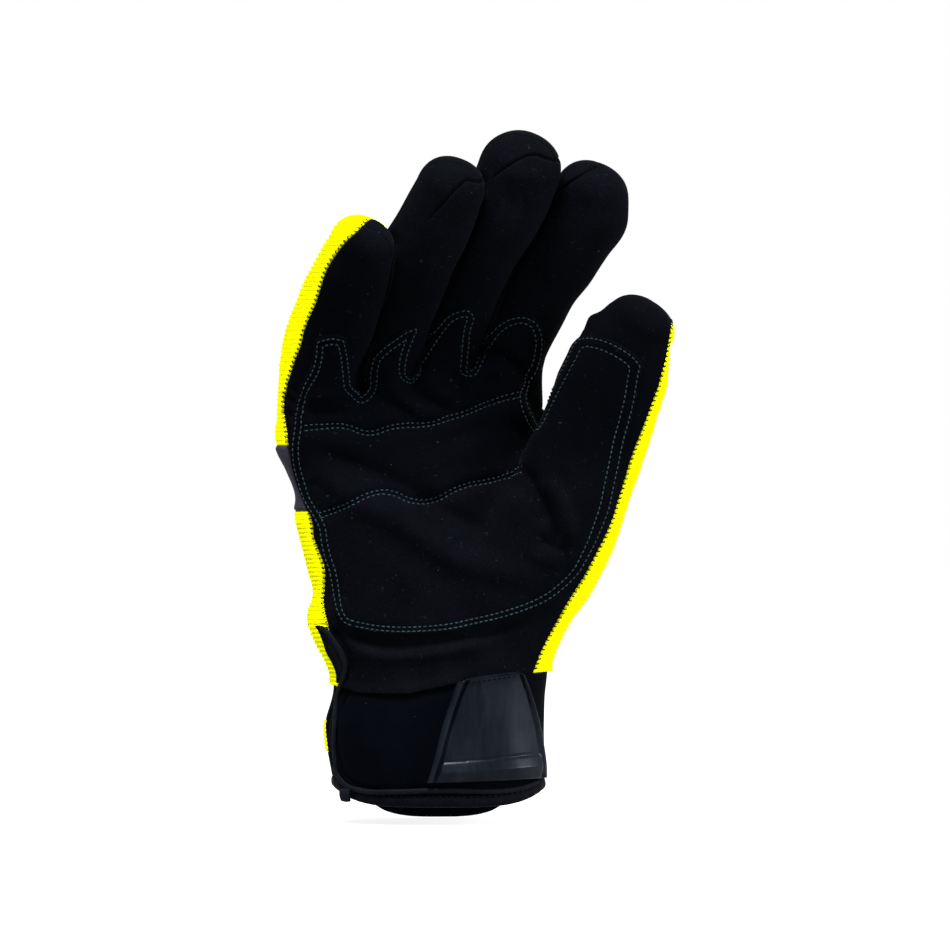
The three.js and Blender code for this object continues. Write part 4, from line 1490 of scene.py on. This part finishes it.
    def rows(self) -> None:
        """Double rows of slate stitches on the patch and along its creases, and the black seam beside the yellow."""
        line = smooth_path(self.outer_row, 0.5)
        run = np.vstack([line, line[:1]])
        inward = left_of(run)
        slate, black = Solid(), Solid()
        for inset in (np.zeros(len(run)), self.row_spacing(run)):
            moved = run + inward * inset[:, None]
            gap, _ = line_reach(moved, line, closed=True)
            kept = moved[(gap > inset - 0.2) & (inside_line(moved, line) | (inset == 0.0))]
            breaks = np.nonzero(np.linalg.norm(np.diff(kept, axis=0), axis=1) > 5.0)[0] + 1
            for stretch in np.split(kept, breaks):
                if len(stretch) > 6:
                    self.stitcher.row(slate, stretch, PATCH_STITCH, self.patch_lift - 0.05)
        for path, shifts in ((self.creases[0], (-1.0, 1.0)), (self.creases[1], (-1.0, 1.0)), (self.dart, (0.0,))):
            middle = smooth_path(path, 0.5)
            for shift in shifts:
                self.stitcher.row(slate, middle + left_of(middle) * shift, PATCH_STITCH, self.patch_lift - 0.24)
        for seam, sign in ((Seam.LITTLE_SIDE, -1.0), (Seam.THUMB_SIDE, 1.0)):
            lowest = float(self.wrist_edge(np.array([seam.value[-1][0]]))[0]) + 0.9
            heights = np.arange(lowest, max(p[1] for p in seam.value) - 6.0, 0.4)
            points, _ = self.stitcher.on_front(np.stack([seam.across(heights), heights], axis=1))
            centres = resample(points, EDGE_RUN_STITCH.pitch)
            line_dir = unit(np.gradient(centres, axis=0))
            out = self.volume.slope(centres)
            aside = unit(np.cross(line_dir, out))
            aside *= np.sign(aside[:, :1] * sign + 1e-9)
            slanted = unit(aside + 0.25 * line_dir)
            self.stitcher.stitches(black, centres + aside * 0.3, slanted, out, EDGE_OVER_STITCH, 0.1)
            self.stitcher.stitches(black, centres - aside * 0.6, line_dir, out, EDGE_RUN_STITCH, -0.1)
        slate.piece("slate_stitch_rows", [self.finishes.thread], [], "suede_patch")
        black.piece("edge_seam_threads", [self.finishes.black_thread], [], "suede")


# ---------------------------------------------------------------- the wrist's pieces


@dataclass
class WristCuff:
    """The wrist: foam panels, hem, ribbed binding, hem stitches and pull tab."""

    finishes: Wardrobe
    palm: Palm = field(default_factory=Palm)
    wall: float = 2.0
    hem_height: float = 4.7
    hem_mid: float = -6.2
    hem_lowest: float = -7.9
    corner_rise: float = 5.3
    back_drop: float = 6.2
    under_suede: float = 2.6
    binding: Path = (
        (-43.8, 58.0), (-41.0, 56.6), (-37.9, 52.6), (-35.1, 47.5), (-34.1, 44.2), (-34.6, 40.0), (-36.2, 35.6),
        (-37.6, 30.0), (-38.2, 22), (-38.0, 9), (-36.9, 3.0), (-33.8, -0.4), (-28, -2.1), (-18, -2.3), (-6, -1.8),
        (4, -1.7), (12, -2.0), (22, -2.0), (30, -1.0), (36, 1.0),
    )
    lip: Path = (
        (-44.2, 58.0), (-42.9, 55.6), (-41.4, 51.6), (-40.4, 48.0), (-38.8, 44.6), (-37.4, 40.5), (-37.2, 37.0),
    )
    binding_wide: float = 1.9
    binding_thick: float = 1.5

    def hem_top(self, x: np.ndarray, y: np.ndarray) -> np.ndarray:
        """Height of the hem band's upper edge, parallel to the front's lower edge and lower behind."""
        return self.hem_bottom(x, np.minimum(y, -5.0)) + self.hem_height - 3.0 * ease(y, -8.0, 18.0)

    def hem_bottom(self, x: np.ndarray, y: np.ndarray) -> np.ndarray:
        """Height of the hem's lower edge: nearly level in front and turned up at both sides; the back hangs lower."""
        away = np.abs(x + 1.0)
        drop = (self.back_drop - 2.4 * (np.minimum(away, 26.0) / 21.0) ** 3) * (1 - ease(away, 20.0, 34.0))
        return self.hem_lowest + self.corner_rise * np.abs(x / 37.4) ** 5 - drop * ease(y, -5.0, 15.0)

    def panels(self) -> None:
        """The palm-side and back panels of the cuff: each a closed sheet between the hem and the suede's edge.

        A grid runs round the wrist and up it. Its outer face bulges slightly between its edges, its rim is rounded, and
        a narrow crease follows the binding.
        """
        turn = 0.2 * math.acos(0.985)
        spans = (
            ("cuff_palm_cover", -math.pi + turn, -turn, ["cuff_palm_side"], 0.45),
            ("cuff_back_cover", -turn, math.pi + turn, ["cuff_back"], 0.35),
        )
        share = np.concatenate([[0.0, 0.004, 0.02], np.linspace(0.05, 0.95, 42), [0.98, 0.996, 1.0]])[:, None]
        edge = np.sqrt(np.clip(np.minimum(share, 1 - share) / 0.03, 0.0, 1.0))
        swell = np.sin(np.pi * np.clip(share * 1.08, 0.0, 1.0)) ** 0.5
        for name, first, last, nodes, bulge in spans:
            angle = np.linspace(first, last, 150)[None, :]
            rough = self.palm.ring(angle + 0 * share, np.full((len(share), 150), 10.0))
            foot = self.palm.ring(angle, np.full((1, 150), self.hem_mid))
            low = self.hem_top(foot[..., 0], foot[..., 1]) - 1.2
            height = low + (HandCover.wrist_edge(rough[..., 0]) + self.under_suede - low) * share
            side = np.clip((angle - first) / 0.05, 0.0, 1.0) * np.clip((last - angle) / 0.05, 0.0, 1.0)
            places = rough[..., [0, 2]].reshape(-1, 2)
            places[:, 1] = height.ravel()
            gap = line_reach(places, smooth_path(self.binding, 1.5))[0].reshape(height.shape)
            crease = -0.9 * np.exp(-(((gap - 1.5) / 0.45) ** 2)) * (rough[..., 1] < 0)
            face = crease + bulge * swell * np.sqrt(side) - 0.5 * ease(share, 0.8, 1.0)
            ripple = 0.12 * np.sin(angle * 9.0 + share * 4.0) * np.sin(np.pi * share)
            outer = self.palm.ring(angle + 0 * share, height, (face + ripple) * edge + (edge - 1) * 0.4)
            inner = self.palm.ring(angle + 0 * share, height, -self.wall)
            Solid.sheet(outer, inner).piece(name, [self.finishes.foam, self.finishes.lining], nodes, "neoprene")

    def hem(self) -> None:
        """The hem band: a rounded flat section carried round the wrist's lower edge, with its fold at the bottom."""
        angle = np.linspace(-math.pi, math.pi, 260, endpoint=False)
        rough = self.palm.ring(angle, np.full(260, self.hem_mid))
        top = self.hem_top(rough[:, 0], rough[:, 1]) - 0.1
        bottom = self.hem_bottom(rough[:, 0], rough[:, 1])
        profile = np.array(
            [(-1.6, 1.0), (-0.9, 1.02), (-0.5, 0.99), (-0.35, 0.93), (-0.3, 0.88), (0.2, 0.82), (0.5, 0.66),
             (0.6, 0.34), (0.4, 0.14), (-0.1, 0.03), (-0.9, 0.0), (-1.6, 0.03), (-2.0, 0.14), (-2.15, 0.5), (-2.0, 0.9)]
        )
        ripple = 0.08 * np.sin(angle * 34)[None, :]
        height = bottom[None, :] + (top - bottom)[None, :] * profile[:, 1:]
        grid = self.palm.ring(angle[None, :] + 0 * height, height, profile[:, :1] + ripple)
        index = grid_index(*grid.shape[:2])
        down, right = np.roll(index, -1, axis=0), np.roll(index, -1, axis=1)
        quads = np.stack([index, down, np.roll(down, -1, axis=1), right], axis=-1)
        inside = 10  # profile rows from here on show the foam
        solid = Solid([grid.reshape(-1, 3)], [(quads[:inside].reshape(-1, 4), 0), (quads[inside:].reshape(-1, 4), 1)])
        solid.piece("cuff_hem_band", [self.finishes.hem, self.finishes.foam], ["cuff_hem"], "neoprene")

    def bind(self) -> None:
        """The binding: a rounded tape carried along its path on the front of the wrist, with fine cross ribs.

        The ribs are a cosine along the tape. The tape narrows to a closed point at its upper end, where it lifts off.
        """
        line = smooth_path(self.binding, 0.25)
        base, out = self.palm.front(line)
        free = ease(line[:, 1], 40.0, 56.0)[:, None]
        base = base + out * (0.55 + 1.3 * free)
        along = unit(np.gradient(base, axis=0))
        side = unit(np.cross(along, out))
        out = np.cross(side, along)
        steps = np.arange(len(line))
        rib = 1 + 0.07 * np.cos(steps * 0.25 * math.tau / 0.9)
        ends = np.clip(np.minimum(steps, len(line) - 1 - steps) / 9.0, 0.02, 1.0) ** 0.5
        angle = np.linspace(0.0, math.tau, 14, endpoint=False)
        flat = bent(np.cos(angle), 0.75) * self.binding_wide / 2
        tall = bent(np.sin(angle), 0.75) * self.binding_thick / 2
        width = (rib * ends)[:, None, None]
        grid = base[:, None, :] + side[:, None, :] * flat[None, :, None] * width
        grid = grid + out[:, None, :] * tall[None, :, None] * width
        Solid.tube(grid).piece("ribbed_cuff_binding", [self.finishes.tape], ["cuff_binding"], "binding")

    def gusset(self) -> None:
        """The slit's lip: a leaf of cloth between the binding and its own turned border, which stands proud."""
        share = np.linspace(0.0, 1.0, 60)
        outer = smooth_path(self.lip, 0.2)
        left = outer[np.linspace(0, len(outer) - 1, 60).astype(int)]
        bound = smooth_path(self.binding, 0.2)
        bound = bound[: int(np.argmin(np.abs(bound[:, 1] - self.lip[-1][1]))) + 1]
        right = bound[np.linspace(0, len(bound) - 1, 60).astype(int)]
        across = np.linspace(0.0, 1.0, 22)
        place = left[:, None, :] * (1 - across[None, :, None]) + right[:, None, :] * across[None, :, None]
        border = 0.75 * np.clip(1 - ((across - 0.12) / 0.12) ** 2, 0.0, 1.0) ** 0.5
        rise = 0.5 + 1.2 * ease(share, 1.0, 0.2)[:, None] + border[None, :] - 0.5 * ease(across, 0.55, 0.9)[None, :]
        flat = place.reshape(-1, 2)
        top, _ = self.palm.front(flat, rise.ravel())
        bottom, _ = self.palm.front(flat, rise.ravel() - 0.9)
        solid = Solid.sheet(top.reshape(*rise.shape, 3)[::-1], bottom.reshape(*rise.shape, 3)[::-1])
        solid.piece("slit_lip", [self.finishes.lip, self.finishes.lip], [], "binding")

    def strip(self) -> None:
        """The yellow knit edge that shows behind the slit, a narrow rounded sheet on the cuff's little-finger side."""
        angle = np.linspace(math.pi * 0.86, math.pi * 1.055, 26)[None, :]
        share = np.linspace(0.0, 1.0, 61)[:, None]
        height = 11.2 + 12.4 * share
        edge = np.sqrt(np.clip(np.minimum(share, 1 - share) / 0.08, 0.0, 1.0)) * np.sqrt(
            np.clip(np.minimum(angle - angle[0, 0], angle[0, -1] - angle) / 0.05, 0.0, 1.0)
        )
        rib = 0.22 * np.cos(height * math.tau / KNIT_PITCH)
        outer = self.palm.ring(angle + 0 * share, height + 0 * angle, 0.2 + (0.75 + rib) * edge)
        inner = self.palm.ring(angle + 0 * share, height + 0 * angle, -0.2)
        Solid.sheet(outer, inner).piece("knit_edge_strip", [self.finishes.knit, self.finishes.knit], [], "yellow_knit")

    def stitches(self, stitcher: Stitcher) -> None:
        """The black stitch row along the hem, just under the binding."""
        solid = Solid()
        angle = np.linspace(-math.pi, math.pi, 1200)
        rough = self.palm.ring(angle, np.full(1200, self.hem_mid))
        height = self.hem_top(rough[:, 0], rough[:, 1]) - 0.75
        centres = resample(self.palm.ring(angle, height), HEM_STITCH.pitch)
        along = unit(np.gradient(centres, axis=0))
        out = unit(np.cross(along, np.array([0.0, 0.0, 1.0])))
        out *= np.sign((out * (centres - centres.mean(axis=0))).sum(axis=1, keepdims=True))
        stitcher.stitches(solid, centres, along, out, HEM_STITCH, 0.1)
        solid.piece("hem_stitch_row", [self.finishes.black_thread], [], "binding")

    def pull(self) -> None:
        """The small pull tab: a folded loop of tape beside the hem's corner."""
        share = np.linspace(0.0, 1.0, 30)
        angle = np.linspace(0.0, math.tau, 16, endpoint=False)
        turn = math.radians(-52)
        side = np.array([math.cos(turn), math.sin(turn), 0.0])
        out = np.array([math.sin(turn), -math.cos(turn), 0.0])
        base = np.array([-34.6, -15.6, -1.4])
        drop = np.array([0.06, -0.1, -1.0])
        wide = 2.9 * (1 - 0.18 * share**3) * (1 + 0.03 * np.cos(share * 42)) * np.clip(share / 0.05 + 0.05, 0, 1) ** 0.5
        wide *= np.clip((1 - share) / 0.06, 0.02, 1.0) ** 0.5
        thick = 0.8 * np.clip(np.minimum(share, 1 - share) / 0.1, 0.05, 1.0) ** 0.5
        centre = base + drop * (share * 5.0)[:, None] + out * (0.5 * np.sin(share * math.pi))[:, None]
        flat, tall = bent(np.cos(angle), 0.5), bent(np.sin(angle), 0.5)
        grid = (
            centre[:, None, :]
            + side * (flat[None, :] * wide[:, None])[..., None]
            + out * (tall[None, :] * thick[:, None])[..., None]
        )
        Solid.tube(grid).piece("cuff_pull_loop", [self.finishes.tape], ["pull_tab"], "binding")


@dataclass
class ClosureTab:
    """The moulded rubber closure tab: a rimmed plate with a sewn groove and a stepped block along its foot."""

    finishes: Wardrobe
    palm: Palm = field(default_factory=Palm)
    left: Path = ((-4.9, 0.9), (-2.6, 8.0), (0.4, 20.0), (3.4, 29.5), (6.2, 37.2), (7.6, 38.9))
    right: Path = ((36.8, 2.0), (36.5, 9.0), (34.7, 21.0), (32.5, 31.0), (30.2, 38.6), (29.0, 41.8))
    thickness: float = 2.2
    rim_height: float = 0.95
    rim_width: float = 2.5
    step_height: float = 1.6
    tall: float = 40.0

    def surface(self) -> tuple[np.ndarray, np.ndarray]:
        """The tab's face and its underside, as two grids of points.

        The plan is a grid between the left and the right edge. Over it lie: a rounded border, a half-round rim along
        the left, upper and right edges with a groove inside it, a faint crown, and a block along the foot: one face
        climbs from its upper edge to a ridge, one falls to the foot, and a hip closes it at the rim.
        """
        spans = np.linspace(0.0, 0.02, 4)[:-1], np.linspace(0.02, 0.98, 118), np.linspace(0.98, 1.0, 4)[1:]
        fine = np.concatenate(spans)
        share, across = fine[:, None], fine[None, :]
        left, right = np.array(self.left), np.array(self.right)
        knots = np.linspace(0.0, 1.0, len(left))
        l_edge, r_edge = (through_rows(knots, side, fine) for side in (left, right))
        place = l_edge[:, None, :] * (1 - across[..., None]) + r_edge[:, None, :] * across[..., None]
        place[..., 1] -= 1.4 * (np.abs(2 * across - 1) ** 6) * ease(share, 0.85, 1.0)
        width = np.linalg.norm(r_edge - l_edge, axis=1)[:, None]
        from_left, from_right = across * width, (1 - across) * width
        from_top, from_foot = (1 - share) * self.tall, share * self.tall
        border = np.minimum(np.minimum(from_left, from_right), np.minimum(from_top, from_foot))
        sides = soft_min(soft_min(from_left, from_right * 2.0, 0.1), from_top * 2.0, 1.0)
        height = self.thickness * np.sqrt(1 - (1 - np.clip(border / 0.8, 0.0, 1.0)) ** 2)
        rim = np.clip(1 - ((sides - self.rim_width / 2) / (self.rim_width / 2)) ** 2, 0.0, 1.0) ** 0.5
        height = height + self.rim_height * rim + 0.8 * ease(share, 0.78, 1.0)
        height -= 1.1 * np.exp(-(((sides - self.rim_width - 0.5) / 0.5) ** 2))
        height += 0.35 * np.sin(np.pi * across) * np.sin(np.pi * share) * (sides > self.rim_width)
        x, z = place[..., 0], place[..., 1]
        upper, ridge, lower = 8.1 + 0.075 * (x + 4.4), 4.5 + 0.07 * (x + 1.0), 0.6 + 0.03 * (x + 4.9)
        slope = np.minimum(0.12 + 0.88 * (upper - z) / (upper - ridge), (z - lower) / (ridge - lower))
        hip = 0.15 + (sides - self.rim_width) / 2.6
        inside = ease(sides, self.rim_width - 0.1, self.rim_width + 0.5)
        block = np.clip(np.minimum(slope, hip), 0.0, 1.0) * (z < upper)
        height += inside * self.step_height * block - 0.35 * inside * np.exp(-(((z - upper - 0.2) / 0.4) ** 2))
        flat = place.reshape(-1, 2)
        top, _ = self.palm.front(flat, (0.35 + height).ravel() - 0.9 * (border.ravel() < 0.02))
        bottom, _ = self.palm.front(flat, np.full(len(flat), -0.4))
        return top.reshape(*height.shape, 3), bottom.reshape(*height.shape, 3)

    def make(self) -> None:
        """The tab as a closed piece."""
        rubber = self.finishes.rubber
        Solid.sheet(*self.surface()).piece("moulded_closure_tab", [rubber, rubber], ["closure_tab"], "moulded_rubber")

    def stitches(self, stitcher: Stitcher) -> None:
        """The dark stitches sunk in the groove under the tab's upper rim."""
        line = smooth_path(((9.6, 37.4), (18.5, 38.6), (27.4, 40.0)), 0.4)
        points, _ = self.palm.front(line, np.full(len(line), 2.8))
        centres = resample(points, TAB_STITCH.pitch)
        along = unit(np.gradient(centres, axis=0))
        _, out = self.palm.front(centres[:, [0, 2]])
        solid = Solid()
        stitcher.stitches(solid, centres, along, out, TAB_STITCH, 0.25)
        solid.piece("tab_stitch_row", [self.finishes.black_thread], [], "binding")


# ---------------------------------------------------------------- studio


@dataclass
class Studio:
    """Plain pale floor, soft light and the camera at the photograph's angle."""

    aim: tuple[float, float] = (12.8, 113.2)
    away: float = 2200.0
    frame_width: float = 346.75
    floor: float = -14.6

    def camera(self) -> None:
        """A long lens looking along +Y, with the focal length that puts frame_width across the picture at the glove."""
        data = bpy.data.cameras.new("camera")
        data.sensor_width = 36.0
        data.lens = 36.0 * self.away / self.frame_width
        data.clip_end = 50.0
        camera = bpy.data.objects.new("camera", data)
        camera.location = (self.aim[0] * METRE, (-self.away - 20.0) * METRE, self.aim[1] * METRE)
        camera.rotation_euler = (math.pi / 2, 0.0, 0.0)
        bpy.context.scene.collection.objects.link(camera)
        bpy.context.scene.camera = camera

    def lamp(self, name: str, spot: Triple, size: float, power: float) -> None:
        """A square soft light aimed at the middle of the glove."""
        data = bpy.data.lights.new(name, "AREA")
        data.size, data.energy = size, power
        lamp = bpy.data.objects.new(name, data)
        lamp.location = spot
        lamp.rotation_euler = (Vector((0.01, 0.0, 0.12)) - Vector(spot)).to_track_quat("-Z", "Y").to_euler()
        bpy.context.scene.collection.objects.link(lamp)

    def build(self) -> None:
        """Sets up world, floor, lights and camera."""
        scene = bpy.context.scene
        scene.view_settings.view_transform = "Standard"
        world = bpy.data.worlds.new("studio")
        world.use_nodes = True
        world.node_tree.nodes["Background"].inputs[0].default_value = (1.0, 1.0, 1.0, 1.0)
        world.node_tree.nodes["Background"].inputs[1].default_value = 1.0
        scene.world = world
        bench = Bench("studio_floor")
        tone = bench.blend(bench.noise(400.0, 2.0), (0.20, 0.20, 0.20), (0.22, 0.22, 0.22))
        floor = bench.finish(
            None,
            0.0,
            Base_Color=tone,
            Roughness=0.8,
            Specular_IOR_Level=0.0,
            Emission_Color=(1.0, 1.0, 1.0),
            Emission_Strength=0.85,
        )
        half = 6.0
        mesh = bpy.data.meshes.new("floor")
        corners = [(x * half, y * half, self.floor * METRE) for x, y in ((-1, -1), (1, -1), (1, 1), (-1, 1))]
        mesh.from_pydata(corners, [], [(0, 1, 2, 3)])
        mesh.materials.append(floor)
        ground = bpy.data.objects.new("floor", mesh)
        scene.collection.objects.link(ground)
        self.lamp("key", (-0.25, -0.75, 1.85), 0.7, 160.0)
        self.lamp("side", (1.72, -0.5, 0.55), 0.6, 66.0)
        self.camera()


def main() -> None:
    """Builds the glove piece by piece, then the studio."""
    logging.basicConfig(level=logging.INFO, format="%(name)s %(message)s")
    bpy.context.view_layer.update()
    finishes = Wardrobe()
    cover = HandCover(finishes)
    cover.sew()
    cover.covers()
    cover.patch()
    cover.rows()
    cuff = WristCuff(finishes)
    cuff.panels()
    cuff.hem()
    cuff.bind()
    cuff.gusset()
    cuff.strip()
    cuff.stitches(cover.stitcher)
    cuff.pull()
    tab = ClosureTab(finishes)
    tab.make()
    tab.stitches(cover.stitcher)
    Studio().build()


if __name__ == "__main__":
    main()
